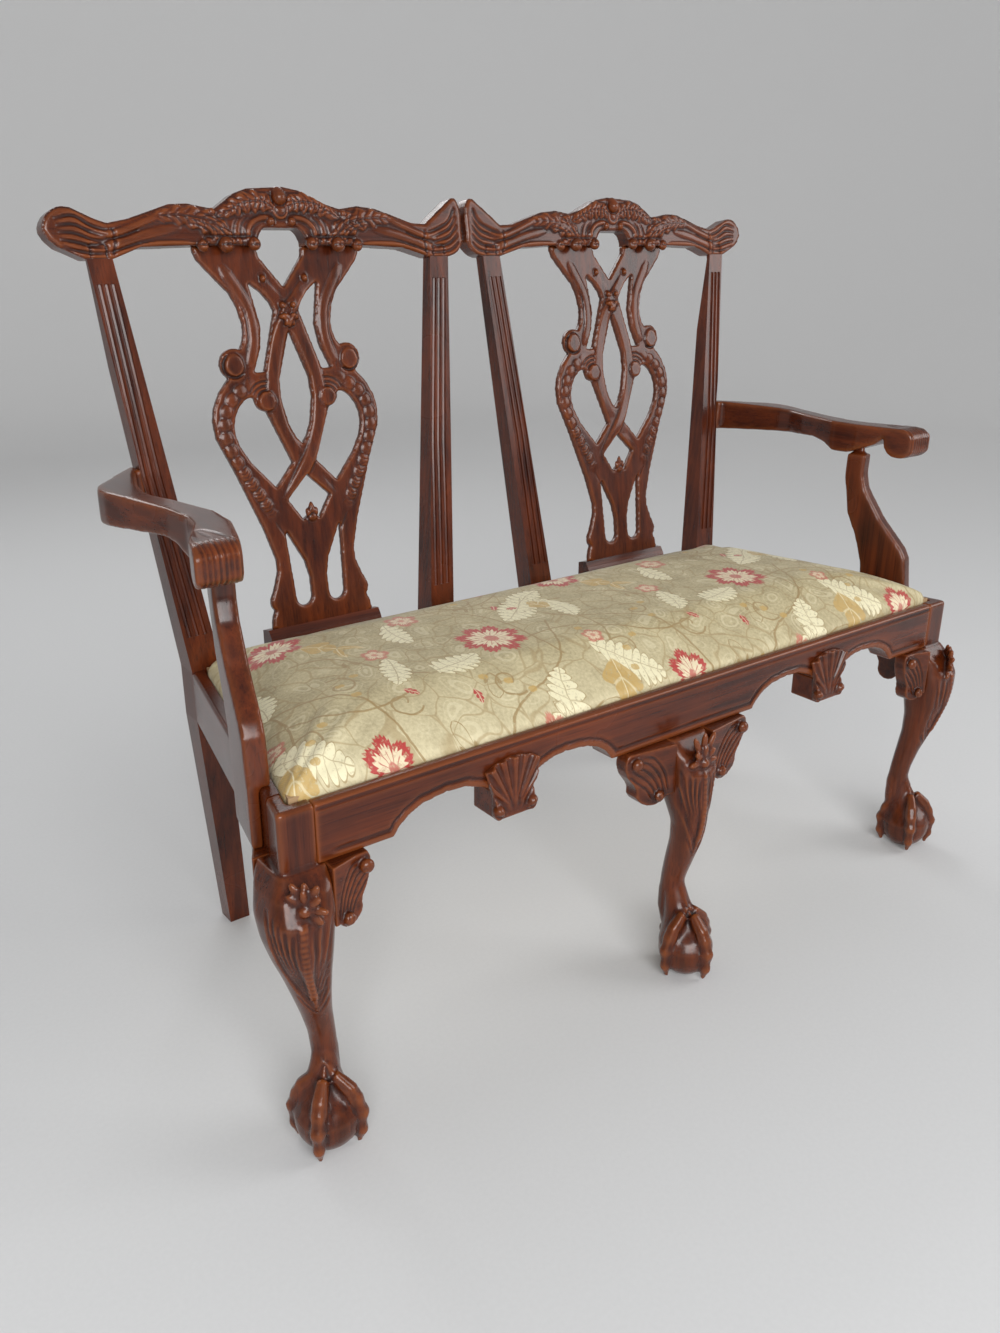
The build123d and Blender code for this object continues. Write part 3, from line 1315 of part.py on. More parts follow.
def build():
    """Every node by name."""
    nodes = {}

    def pair(name, solid):
        nodes[name + "_right"] = solid
        nodes[name + "_left"] = other_side(solid)

    post = rear_post()
    post = post - rear_rail_tenon(1, glue_gap) - side_rail_tenon(post_y, 1, glue_gap)
    post = post - arm_tenon_piece(glue_gap)
    pair("rear_post", post)
    pair("inner_stile", inner_stile())
    pair("crest_rail", crest_rail())
    pair("splat", splat())
    pair("splat_shoe", splat_shoe())
    nodes["rear_rail"] = rear_rail()
    nodes["rear_seat_cleat"] = rear_seat_cleat()
    rail = front_rail()
    for hole in tongue_screws()[1]:
        rail = rail - hole
    nodes["front_rail"] = rail
    for hole in block_screws()[1]:
        for name in ("front_rail", "rear_rail", "rear_seat_cleat"):
            nodes[name] = nodes[name] - hole - other_side(hole)
    pair("side_rail", side_rail())
    nodes["medial_rail"] = medial_rail()
    pair("front_leg", corner_leg())
    nodes["front_leg_center"] = center_leg()
    left_front, center_right = front_brackets()
    nodes["knee_bracket_left_front"] = left_front
    nodes["knee_bracket_right_front"] = other_side(left_front)
    nodes["knee_bracket_center_right"] = center_right
    nodes["knee_bracket_center_left"] = other_side(center_right)
    right_side = side_bracket()
    nodes["knee_bracket_right_side"] = right_side
    nodes["knee_bracket_left_side"] = other_side(right_side)
    pair("apron_shell", apron_shell())
    pair("arm", arm())
    pair("arm_support", arm_support())
    front_block = corner_block(front_block_outline())
    rear_block = corner_block(rear_block_outline())
    pair("corner_block_front", front_block)
    pair("corner_block_rear", rear_block)
    screws = support_screws()[0]
    nodes["arm_support_screws"] = Compound(children=[*screws, *[other_side(piece) for piece in screws]])
    nodes["center_leg_screws"] = Compound(children=tongue_screws()[0])
    screws = block_screws()[0]
    nodes["corner_block_screws"] = Compound(children=[*screws, *[other_side(piece) for piece in screws]])
    holes = tack_holes()
    members = seat_frame()
    for name, member in zip(("front", "back", "right", "left", "middle"), members):
        nodes["seat_frame_" + name] = member - holes
    nodes["seat_webbing"] = seat_webbing()
    nodes["seat_hessian"] = seat_hessian()
    nodes["seat_padding"] = seat_padding()
    nodes["seat_cover"] = seat_cover()
    nodes["seat_dust_cover"] = seat_dust_cover() - holes
    nodes["seat_tacks"] = Compound(children=seat_tacks())
    return nodes


os.makedirs("parts", exist_ok=True)
for node, shape in build().items():
    export_step(shape, f"parts/{node}.step")
    box = shape.bounding_box()
    print(f"{node:28s} solids {len(shape.solids()):3d}  volume {shape.volume / 1000:10.1f} cm3  "
          f"x {box.min.X:8.1f} {box.max.X:8.1f}  y {box.min.Y:8.1f} {box.max.Y:8.1f}  "
          f"z {box.min.Z:7.1f} {box.max.Z:7.1f}")
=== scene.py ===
from functools import reduce
from math import cos, hypot, pi, radians, sin

import bmesh
import bpy
import numpy as np
from mathutils import Matrix, Vector, kdtree


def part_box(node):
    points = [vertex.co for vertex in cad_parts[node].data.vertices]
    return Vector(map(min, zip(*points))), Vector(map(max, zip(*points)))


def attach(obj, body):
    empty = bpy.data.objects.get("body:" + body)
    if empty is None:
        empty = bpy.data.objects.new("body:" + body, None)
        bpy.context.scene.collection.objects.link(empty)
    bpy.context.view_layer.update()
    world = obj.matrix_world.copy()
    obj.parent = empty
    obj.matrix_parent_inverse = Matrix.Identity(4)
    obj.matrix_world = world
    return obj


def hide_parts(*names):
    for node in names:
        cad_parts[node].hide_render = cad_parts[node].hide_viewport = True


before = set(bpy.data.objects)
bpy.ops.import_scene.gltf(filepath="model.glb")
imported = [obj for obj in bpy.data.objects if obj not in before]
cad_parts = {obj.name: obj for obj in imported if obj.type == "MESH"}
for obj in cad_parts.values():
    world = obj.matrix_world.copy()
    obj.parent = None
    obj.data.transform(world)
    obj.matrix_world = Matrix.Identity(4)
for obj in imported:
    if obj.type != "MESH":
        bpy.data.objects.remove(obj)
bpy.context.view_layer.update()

# Studio
# A pale painted floor that turns up into a round wall far off, a large soft lamp at the
# front, a fill from the right and a strip behind, so that the polish shows broad lights.
floor_radius = 5.0
cove_radius = 2.4
wall_height = 4.5
studio_spokes = 96
paler_from = 1.6
paler_to = 5.5
floor_colour = (0.66, 0.665, 0.67, 1.0)
speckle_colour = (0.6204, 0.6251, 0.6298, 1.0)
speckle_scale = 180.0
wall_colour = (0.90, 0.90, 0.90, 1.0)
world_colour = (0.84, 0.84, 0.84, 1.0)
world_strength = 0.42
lamps = (
    ("key_lamp", (-1.5, -2.9, 1.75), 2.4, 1.5, 105.0),
    ("fill_lamp", (2.6, -1.9, 1.7), 1.8, 1.8, 40.0),
    ("strip_lamp", (0.3, 2.4, 2.3), 2.4, 0.7, 26.0),
)
lamp_aim = Vector((0.0, 0.0, 0.5))


class Wire:
    """An output of a shader node. Arithmetic on it adds nodes to the same tree."""

    def __init__(self, tree, socket):
        self.tree = tree
        self.socket = socket

    def math(self, operation, *others):
        """One Math node."""
        return wire_from(self.tree, "ShaderNodeMath", self, *others, operation=operation)

    def __add__(self, other):
        return self.math("ADD", other)

    def __sub__(self, other):
        return self.math("SUBTRACT", other)

    def __rsub__(self, other):
        return wire_from(self.tree, "ShaderNodeMath", other, self, operation="SUBTRACT")

    def __mul__(self, other):
        return self.math("MULTIPLY", other)

    def __truediv__(self, other):
        return self.math("DIVIDE", other)

    def __pow__(self, other):
        return self.math("POWER", other)

    def __abs__(self):
        return self.math("ABSOLUTE")

    def sine(self):
        return self.math("SINE")

    def cosine(self):
        return self.math("COSINE")

    def highest(self, other):
        return self.math("MAXIMUM", other)

    def step(self, softness):
        """1 where the value is well above zero, 0 below, with a soft edge."""
        return wire_from(self.tree, "ShaderNodeClamp", self / softness)

    def ramp(self, low, high, **settings):
        """The value stretched so that low becomes 0 and high becomes 1."""
        return wire_from(self.tree, "ShaderNodeMapRange", self, low, high, **settings)

    def blend(self, first, second):
        """A mix of two colours, with this wire as the second one's share."""
        return wire_from(self.tree, "ShaderNodeMix", self, output=2, data_type="RGBA",
                         fed={6: first, 7: second})

    def vector(self, operation, *others, output=0):
        """One Vector Math node."""
        return wire_from(self.tree, "ShaderNodeVectorMath", self, *others, output=output,
                         operation=operation)

    def noise(self, scale, detail, roughness=0.5, output=0):
        """Noise at this place."""
        return wire_from(self.tree, "ShaderNodeTexNoise", self, None, scale, detail, roughness,
                         output=output)

    def parts(self):
        """This vector's X, Y and Z."""
        split = node_from(self.tree, "ShaderNodeSeparateXYZ", self)
        return [Wire(self.tree, socket) for socket in split.outputs]


def node_from(tree, kind, *inputs, fed=(), **settings):
    """A node with its properties set and its inputs fed by values or wires."""
    made = tree.nodes.new(kind)
    for key, value in settings.items():
        setattr(made, key, value)
    for index, value in {**dict(enumerate(inputs)), **dict(fed)}.items():
        if isinstance(value, Wire):
            tree.links.new(value.socket, made.inputs[index])
        elif value is not None:
            made.inputs[index].default_value = value
    return made


def wire_from(tree, kind, *inputs, output=0, **settings):
    """One output of a new node."""
    return Wire(tree, node_from(tree, kind, *inputs, **settings).outputs[output])


def own_place(tree):
    """Coordinates in the object's own metres."""
    return wire_from(tree, "ShaderNodeTexCoord", output="Object")


def surface(name, fed_by, **constants):
    """A node material. fed_by(tree) gives the wires for its shader's inputs by name."""
    material = bpy.data.materials.new(name)
    material.use_nodes = True
    tree = material.node_tree
    tree.nodes.clear()
    shader = tree.nodes.new("ShaderNodeBsdfPrincipled")
    output = tree.nodes.new("ShaderNodeOutputMaterial")
    tree.links.new(shader.outputs[0], output.inputs[0])
    for label, wire in fed_by(tree).items():
        tree.links.new(wire.socket, shader.inputs[label])
    for label, value in constants.items():
        shader.inputs[label.replace("_", " ")].default_value = value
    return material


def mesh_from(shape, name):
    """A smooth mesh from a finished bmesh."""
    mesh = bpy.data.meshes.new(name)
    shape.to_mesh(mesh)
    shape.free()
    mesh.shade_smooth()
    return mesh


def in_scene(name, data, material=None):
    """A new object in the scene."""
    made = bpy.data.objects.new(name, data)
    bpy.context.collection.objects.link(made)
    if material:
        data.materials.append(material)
    return made


def bridge(shape, rows, closed=False):
    """Faces between rows of vertices."""
    for first, second in zip(rows, rows[1:]):
        if closed:
            first, second = first + first[:1], second + second[:1]
        for a, b, c, d in zip(first, first[1:], second[1:], second):
            shape.faces.new((a, d, c, b))


def round_rows(shape, profile, steps, centre=Vector()):
    """Rings of vertices, one for each radius and height."""
    spokes = [Vector((cos(2 * pi * step / steps), sin(2 * pi * step / steps), 0)) for step in range(steps)]
    rises = [(radius, centre + Vector((0, 0, height))) for radius, height in profile]
    return [[shape.verts.new(middle + spoke * radius) for spoke in spokes] for radius, middle in rises]


def studio_paint(tree):
    """Paint with a faint speckle, paler far off."""
    place = own_place(tree)
    tint = place.noise(speckle_scale, 3.0).blend(speckle_colour, floor_colour)
    far_off = place.vector("LENGTH", output="Value")
    paler = far_off.ramp(paler_from, paler_to, interpolation_type="SMOOTHSTEP")
    return {"Base Color": paler.blend(tint, wall_colour)}


profile = [(floor_radius * share, 0.0) for share in (0.2, 0.5)]
for turn in range(0, 91, 6):
    out = cove_radius * sin(radians(turn))
    profile.append((floor_radius + out, cove_radius * (1 - cos(radians(turn)))))
profile.append((floor_radius + cove_radius, wall_height))
studio = bmesh.new()
rings = round_rows(studio, profile, studio_spokes)
studio.faces.new(rings[0])
bridge(studio, rings, closed=True)
studio_finish = surface("studio_paint", studio_paint, Roughness=0.85)
studio_floor = in_scene("studio_floor", mesh_from(studio, "studio_floor"), studio_finish)

world = bpy.data.worlds.new("studio_air")
bpy.context.scene.world = world
world.use_nodes = True
world.node_tree.nodes["Background"].inputs[0].default_value = world_colour
world.node_tree.nodes["Background"].inputs[1].default_value = world_strength

for lamp_name, lamp_place, lamp_width, lamp_height, lamp_power in lamps:
    lamp = bpy.data.lights.new(lamp_name, "AREA")
    lamp.shape = "RECTANGLE"
    lamp.size = lamp_width
    lamp.size_y = lamp_height
    lamp.energy = lamp_power
    lamp_object = in_scene(lamp_name, lamp)
    lamp_object.location = lamp_place
    lamp_object.rotation_euler = (Vector(lamp_place) - lamp_aim).to_track_quat("Z", "Y").to_euler()

bpy.context.scene.view_settings.view_transform = "Standard"

# Camera
# The photograph's own place and angle, worked out from the settee's symmetry: chest
# height, left of the middle, looking down at the seat.
camera_place = (-0.98491, -1.11121, 0.94941)
camera_yaw = radians(37.4326)
camera_pitch = radians(-21.2741)
camera_roll = radians(0.2856)
camera_lens = 29.76
camera_sensor = 36.0

level = Vector((cos(camera_yaw), -sin(camera_yaw), 0.0))
ahead = Vector((sin(camera_yaw), cos(camera_yaw), 0.0))
forward = ahead * cos(camera_pitch) + Vector((0.0, 0.0, sin(camera_pitch)))
upward = level.cross(forward)
camera_right = level * cos(camera_roll) + upward * sin(camera_roll)
camera_up = upward * cos(camera_roll) - level * sin(camera_roll)
camera_data = bpy.data.cameras.new("camera")
camera_data.lens = camera_lens
camera_data.sensor_width = camera_sensor
camera = in_scene("camera", camera_data)
turn = Matrix((camera_right, camera_up, -forward)).transposed().to_4x4()
camera.matrix_world = Matrix.Translation(camera_place) @ turn
bpy.context.scene.camera = camera

# Mahogany
# Dark red Cuban mahogany, french polished: straight grain along each stick, stain that
# stays in the carved hollows and thins on the ridges that hands and cloths rub.
hollow_colour = (0.014, 0.0030, 0.0018, 1.0)
stain_colour = (0.029, 0.0048, 0.0017, 1.0)
figure_colour = (0.120, 0.0220, 0.0044, 1.0)
rubbed_colour = (0.22, 0.058, 0.014, 1.0)
line_noise = (1.0, 5.0, 0.62)
pore_noise = (5.5, 2.0)
pore_range = (0.56, 0.68)
cloud_noise = (9.0, 2.0)
figure_range = (0.55, 1.0)
pore_share = 0.45
rub_share = 0.75
hollow_limit = 0.92
polish_roughness = 0.17
cloud_roughness = 0.16
wax_roughness = 0.25
polished_bump = (0.12, 0.0006)
along_grain = 3.0
across_grain = 90.0
vector_labels = ("Place", "Stretch")


def shared_group(name, inputs, outputs, worked_out):
    """A shader node group. worked_out turns a wire for each input into one for each output."""
    tree = bpy.data.node_groups.new(name, "ShaderNodeTree")
    for side, labels in (("INPUT", inputs), ("OUTPUT", outputs)):
        for label in labels.split():
            kind = "NodeSocketVector" if label in vector_labels else "NodeSocketFloat"
            tree.interface.new_socket(label, in_out=side, socket_type=kind)
    given = tree.nodes.new("NodeGroupInput")
    result = tree.nodes.new("NodeGroupOutput")
    wires = [Wire(tree, given.outputs[label]) for label in inputs.split()]
    for index, wire in enumerate(worked_out(*wires)):
        tree.links.new(wire.socket, result.inputs[index])
    return tree


def grouped(tree, group, *inputs):
    """The outputs of a node group placed in a material."""
    made = node_from(tree, "ShaderNodeGroup", *inputs, node_tree=group)
    return [Wire(tree, socket) for socket in made.outputs]


def bumped(height, strength, distance):
    """A normal tilted by a height."""
    return wire_from(height.tree, "ShaderNodeBump", strength, distance, fed={"Height": height})


def grain_lines(place, stretch):
    """Long grain lines, pores and slow clouds along one axis."""
    stretched = place.vector("MULTIPLY", stretch)
    pores = stretched.noise(*pore_noise).ramp(*pore_range)
    return stretched.noise(*line_noise), pores, place.noise(*cloud_noise)


def carved_relief(strength):
    """The carver's relief on a surface: how hollow and how rubbed each spot is."""
    relief = wire_from(strength.tree, "ShaderNodeAttribute", output="Fac", attribute_name="relief")
    signed = relief * strength
    return (signed * -1.0).highest(0.0), signed.highest(0.0)


wood_grain = shared_group("wood_grain", "Place Stretch", "Figure Pores Clouds", grain_lines)
edge_wear = shared_group("edge_wear", "Strength", "Hollow Rubbed", carved_relief)


def mahogany(name, stretch):
    """French-polished mahogany with its grain along one axis."""
    def finish(tree):
        figure, pores, clouds = grouped(tree, wood_grain, own_place(tree), stretch)
        hollow, rubbed = grouped(tree, edge_wear, 1.0)
        colour = (figure + clouds * 0.5).ramp(*figure_range).blend(stain_colour, figure_colour)
        colour = (pores * pore_share).blend(colour, hollow_colour)
        colour = (rubbed * rub_share).blend(colour, rubbed_colour)
        colour = hollow.math("MINIMUM", hollow_limit).blend(colour, hollow_colour)
        rough = clouds * cloud_roughness + polish_roughness + hollow * wax_roughness
        return {"Base Color": colour, "Roughness": rough,
                "Normal": bumped(figure - pores * 0.5, *polished_bump)}
    return surface(name, finish, Coat_Weight=0.14, Coat_Roughness=0.12, Specular_IOR_Level=0.32)


along_x = mahogany("mahogany_long", (along_grain, across_grain, across_grain))
along_y = mahogany("mahogany_deep", (across_grain, along_grain, across_grain))
along_z = mahogany("mahogany_upright", (across_grain, across_grain, along_grain))


def finish_nodes(material, *nodes):
    """Gives CAD nodes their finish."""
    for node in nodes:
        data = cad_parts[node].data
        data.materials.clear()
        data.materials.append(material)


# Seat rails, posts and inner stiles
# Sawn and planed sticks, tenoned and glued: side and rear rails with a rebate for the
# seat, rear posts that run from foot to crest, and the shoes that hold the splats.
finish_nodes(along_x, "rear_rail", "splat_shoe_left", "splat_shoe_right")
finish_nodes(along_y, "side_rail_left", "side_rail_right")
finish_nodes(along_z, "rear_post_left", "rear_post_right", "inner_stile_left", "inner_stile_right")

# Front legs
# Three cabriole legs, each carved from one stick: a rosette, leaves and a toothed spine on
# the knee, and talons that grip a ball. The corner legs run up into the rail corner as
# its block. Sizes of added forms are in metres, those of cuts in millimetres.
leg_voxel = 0.0019
rosette_petals = 8
petal_length = 0.022
petal_width = 0.0095
petal_thick = 0.0080
petal_steps = (14, 10)
petal_lift = 0.12
rosette_boss = 0.0072
rosette_height = 0.322
rosette_guard = 26.0
rosette_droop = 0.15
top_leaf_spreads = (-0.5, 0.0, 0.5)
top_leaf_start = 0.012
corner_leaf_rise = 0.020
center_leaf_rise = 0.030
ray_length = 0.3
leaf_groove_count = 5
groove_half_width = 2.7
groove_depth = 2.4
spine_half_width = 4.0
spine_tooth = 7.0
spine_height = 1.9
ankle_top = 0.132
ankle_low = 0.044
ankle_flare = 0.0385
ankle_fit = 0.86
ankle_curve = 1.9
ankle_rings = 11
ankle_steps = 32
knee_top = 336.0
knee_low = 112.0
knee_smoothing = 16
knee_leaf_outer = ((40, 322), (37, 302), (31, 274), (23, 246), (13, 218), (3, 192))
knee_leaf_inner = ((9, 300), (10, 286), (10, 268), (8, 250), (5, 232), (2, 214))
leaf_tip_outer = ((17, 214), (10, 196), (1, 180))
leaf_tip_inner = ((9, 214), (5, 203), (1, 192))
spine_route = ((0, 306), (0, 260), (0, 208))
talon_top = 76.0
talon_half_turn = 0.32
talon_smoothing = 14
talon_knuckles = (64.0, 44.0, 20.0)
knuckle_height = 2.0
knuckle_reach = 7.0
knuckle_half_turn = 0.26
web_middle = 84.0
web_reach = 20.0
web_depth = 1.5
web_foot = 30.0


def shown(piece, *nodes, body="frame", slot_name="mahogany"):
    """Puts a finished piece on its body, in place of its CAD nodes."""
    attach(piece, body)
    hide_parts(*nodes)


def petal(shape, base, direction, normal, length, width, thick):
    """One rounded petal or ball, added to a carver's blank."""
    direction = Vector(direction).normalized()
    side = Vector(normal).cross(direction).normalized()
    normal = direction.cross(side)
    turn = Matrix((direction * length / 2, side * width / 2, normal * thick / 2)).transposed().to_4x4()
    centre = Vector(base) + direction * length / 2
    bmesh.ops.create_uvsphere(shape, u_segments=petal_steps[0], v_segments=petal_steps[1], radius=1.0,
                              matrix=Matrix.Translation(centre) @ turn)


def ball_on(shape, centre, radius, thick, normal):
    """A ball or flattened boss, added to a carver's blank."""
    across = Vector(normal).orthogonal().normalized()
    petal(shape, Vector(centre) - across * radius, across, normal, 2 * radius, 2 * radius, 2 * thick)


def rosette(shape, centre, normal):
    """A flower of petals round a boss."""
    normal = Vector(normal).normalized()
    up = Vector((0, 0, 1))
    up = (up - normal * up.dot(normal)).normalized()
    side = normal.cross(up)
    for index in range(rosette_petals):
        turn = 2 * pi * index / rosette_petals
        direction = up * cos(turn) + side * sin(turn) + normal * petal_lift
        petal(shape, centre + direction * rosette_boss / 2, direction, normal, petal_length, petal_width,
              petal_thick)
    ball_on(shape, centre + normal * petal_thick / 2, rosette_boss, rosette_boss, normal)


def final_mesh(piece):
    """A piece's mesh with its modifiers applied."""
    return bpy.data.meshes.new_from_object(piece.evaluated_get(bpy.context.evaluated_depsgraph_get()))


def blank(name, node, voxel, extras=None):
    """A copy of a CAD node and added forms, melted into one fine mesh for carving."""
    shape = bmesh.new()
    shape.from_mesh(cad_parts[node].data)
    if extras:
        extras(shape)
    rough = mesh_from(shape, name)
    piece = in_scene(name, rough)
    melt = piece.modifiers.new("melt", "REMESH")
    melt.mode = "VOXEL"
    melt.voxel_size = voxel
    melt.use_smooth_shade = True
    piece.data = final_mesh(piece)
    piece.modifiers.clear()
    bpy.data.meshes.remove(rough)
    return piece


def rows_of(items, name, width, kind=float):
    """One property of a mesh's vertices or edges, as the rows of an array."""
    values = np.empty(len(items) * width, kind)
    items.foreach_get(name, values)
    return values.reshape(-1, width)


def smooth_route(points, steps=6):
    """Points along a smooth curve through given points."""
    points = np.array(points, float)
    ends = np.vstack([2 * points[0] - points[1], points, 2 * points[-1] - points[-2]])
    share = np.linspace(0, 1, steps, endpoint=False)[:, None]
    runs = []
    for a, b, c, d in zip(ends, ends[1:], ends[2:], ends[3:]):
        runs.append(0.5 * (2 * b + (c - a) * share + (2 * a - 5 * b + 4 * c - d) * share ** 2
                           + (3 * b - a - 3 * c + d) * share ** 3))
    return np.vstack(runs + [points[-1:]])


def to_hand(hand, route):
    """A route drawn for the right, on the side of a hand: 1 for right, -1 for left."""
    return [(hand * u, v) for u, v in route]


def rising(value, start, run):
    """0 up to a start, then rising to 1 over a run. A negative run falls from 1 to 0 at the start."""
    return np.clip((value - start) / run, 0, 1)


def dome(off):
    """Height of a round section at a share of its half-width."""
    return np.sqrt(np.clip(1 - off ** 2, 0, 1))


def bump_at(value, middle, width):
    """A smooth bump round a middle value."""
    return np.exp(-((value - middle) / width) ** 2)


def swollen(along, taper):
    """0 at both ends of a route, rising to 1 between them."""
    return np.clip(np.minimum(along, 1 - along) / taper, 0, 1) if taper else 1.0


class Carving:
    """Relief cut into a mesh, drawn in millimetres across and up one of its faces."""

    def __init__(self, piece, origin, across, up, softness=1):
        self.piece = piece
        self.points = rows_of(piece.data.vertices, "co", 3) * 1000
        self.edges = rows_of(piece.data.edges, "vertices", 2, np.int32)
        self.links = np.bincount(self.edges.ravel(), minlength=len(self.points))[:, None]
        self.points = self.relaxed(self.points, softness)
        self.measure_normals()
        self.face(origin, across, up)

    def relaxed(self, points, steps):
        """Points drawn towards their neighbours."""
        first, second = self.edges.T
        for step in range(steps):
            mean = np.empty_like(points)
            for axis in range(3):
                mean[:, axis] = (np.bincount(first, points[second, axis], len(points))
                                 + np.bincount(second, points[first, axis], len(points)))
            points = points + 0.6 * (mean / self.links - points)
        return points

    def smooth(self, zone, steps):
        """Smooths the points by a share of their own."""
        self.points += (self.relaxed(self.points, steps) - self.points) * zone[:, None]
        self.measure_normals()

    def measure_normals(self):
        """Puts the points back in the mesh and reads its vertex normals."""
        mesh = self.piece.data
        mesh.vertices.foreach_set("co", (self.points / 1000).ravel())
        mesh.update()
        self.normals = rows_of(mesh.vertex_normals, "vector", 3)

    def look(self, out, least=0.25, fade=0.4):
        """Chooses which way to carve, and so which points face the carver."""
        self.out = np.array(out, float)
        self.facing = rising(self.normals @ self.out, least, fade)
        self.height = np.zeros(len(self.points))

    def face(self, origin, across, up):
        """Chooses the face to draw on. An upright face is carved from the front."""
        across, up = np.array(across, float), np.array(up, float)
        local = self.points - np.array(origin, float) * 1000
        self.u, self.v = local @ across, local @ up
        out = np.cross(across, up) / np.linalg.norm(np.cross(across, up))
        self.look(-out if out[1] > 0.5 else out)

    def near(self, route, reach):
        """Which points lie near a route, how far off it and along it, and how long it is."""
        route = smooth_route(route)
        low, high = route.min(0) - reach, route.max(0) + reach
        picked = np.nonzero((self.u > low[0]) & (self.u < high[0]) & (self.v > low[1]) & (self.v < high[1])
                            & (self.facing > 0))[0]
        spot = np.stack([self.u[picked], self.v[picked]], 1)
        runs = np.diff(route, axis=0)
        lengths = np.maximum(np.linalg.norm(runs, axis=1), 1e-6)
        reached = np.concatenate([[0], np.cumsum(lengths)])
        best = np.full(len(picked), 1e9)
        along = np.zeros(len(picked))
        for start, run, length, passed in zip(route, runs, lengths, reached):
            offset = spot - start
            share = np.clip(offset @ run / length ** 2, 0, 1)
            distance = np.linalg.norm(offset - share[:, None] * run, axis=1)
            better = distance < best
            best[better] = distance[better]
            along[better] = (passed + share * length)[better]
        return picked, best, along / reached[-1], reached[-1]

    def bead(self, route, half_width, height, taper=0.2):
        """A rounded ridge, thinner towards its ends."""
        picked, off, along, _ = self.near(route, half_width)
        swell = swollen(along, taper) ** 0.5
        rise = height * swell * dome(off / (half_width * (0.35 + 0.65 * swell)))
        self.height[picked] = np.maximum(self.height[picked], rise)

    def gouge(self, route, half_width, depth, taper=0.3):
        """A hollow cut with a gouge, running out at its ends."""
        picked, off, along, _ = self.near(route, half_width)
        swell = swollen(along, taper) ** 0.6
        self.height[picked] -= depth * swell * np.clip(1 - (off / half_width) ** 2, 0, 1)

    def ring(self, u, v, radius, half_width, height):
        """A rounded ring, or a low dome where the radius is 0."""
        off = (np.hypot(self.u - u, self.v - v) - radius) / half_width
        self.height = np.maximum(self.height, np.where(abs(off) < 1, height * dome(off), -99))

    def leaf(self, route, half_width, height, lobes, lean=1.0):
        """A curling leaf: lobed edges, a midrib and veins that sweep back from it."""
        picked, off, along, _ = self.near(route, half_width * 1.2)
        wave = 1 + 0.16 * np.cos(2 * pi * (lobes * along - 0.1))
        swell = np.sin(pi * np.clip(along, 0.02, 0.98) ** 0.75) ** 0.6
        share = np.clip(off / np.maximum(half_width * swell * wave, 0.01), 0, 1)
        rise = height * (swell * dome(share) + 0.15)
        veins = np.cos(2 * pi * (lobes * along * 1.6 + lean * share * 1.1))
        rise -= 0.24 * height * (veins > 0.1) * veins * np.clip(share * 4, 0, 1)
        rise -= 0.35 * height * np.clip(1 - (off / 1.3) ** 2, 0, 1)
        rise[share >= 1] = 0
        self.height[picked] = np.maximum(self.height[picked], rise)

    def fan(self, first, last, count, half_width, depth, taper=0.3):
        """Gouge cuts spread evenly between two routes."""
        first, last = np.array(first, float), np.array(last, float)
        for share in np.linspace(0, 1, count):
            self.gouge(first * (1 - share) + last * share, half_width, depth, taper)

    def from_sawn(self, sawn, wanted):
        """How far points are from the nearest sawn one, as seen on the face."""
        tree = kdtree.KDTree(len(sawn))
        for index in sawn:
            tree.insert((self.u[index], self.v[index], 0), int(index))
        tree.balance()
        return np.array([tree.find((self.u[index], self.v[index], 0))[2] for index in wanted])

    def soften_edges(self, radius, back_radius):
        """Rounds the arrises of a pierced board, front and back."""
        sawn = np.nonzero(abs(self.normals @ self.out) < 0.35)[0]
        off = self.from_sawn(sawn, range(len(self.points)))

        def drop(r):
            return r - np.sqrt(np.clip(r ** 2 - (r - np.minimum(off, r)) ** 2, 0, None))

        self.height -= drop(radius) * self.facing
        behind = rising(-(self.normals @ self.out), 0.25, 0.4)
        self.points += self.out * (drop(back_radius) * behind)[:, None]

    def apply(self, by_normal=False):
        """Moves the points by the relief drawn so far."""
        way = self.normals if by_normal else self.out
        self.points += way * (self.height * self.facing)[:, None]
        self.measure_normals()

    def done(self, material, reach=9, gain=0.9):
        """Stores how proud each point stands of its surroundings, and finishes the mesh."""
        settled = self.relaxed(self.points, reach)
        proud = np.einsum("ij,ij->i", self.points - settled, self.normals) * gain
        mesh = self.piece.data
        relief = mesh.attributes.new("relief", "FLOAT", "POINT")
        relief.data.foreach_set("value", np.clip(proud, -1, 1).astype(np.float32))
        mesh.materials.clear()
        mesh.materials.append(material)
        mesh.shade_smooth()
        return self.piece


def twin_of(piece, name, change):
    """A copy of a right-hand piece, mirrored or moved to the left half."""
    mesh = piece.data.copy()
    mesh.name = name
    mesh.transform(change)
    if change.determinant() < 0:
        mesh.flip_normals()
    return in_scene(name, mesh)


mirror_plane = Matrix.Scale(-1, 4, (1, 0, 0))


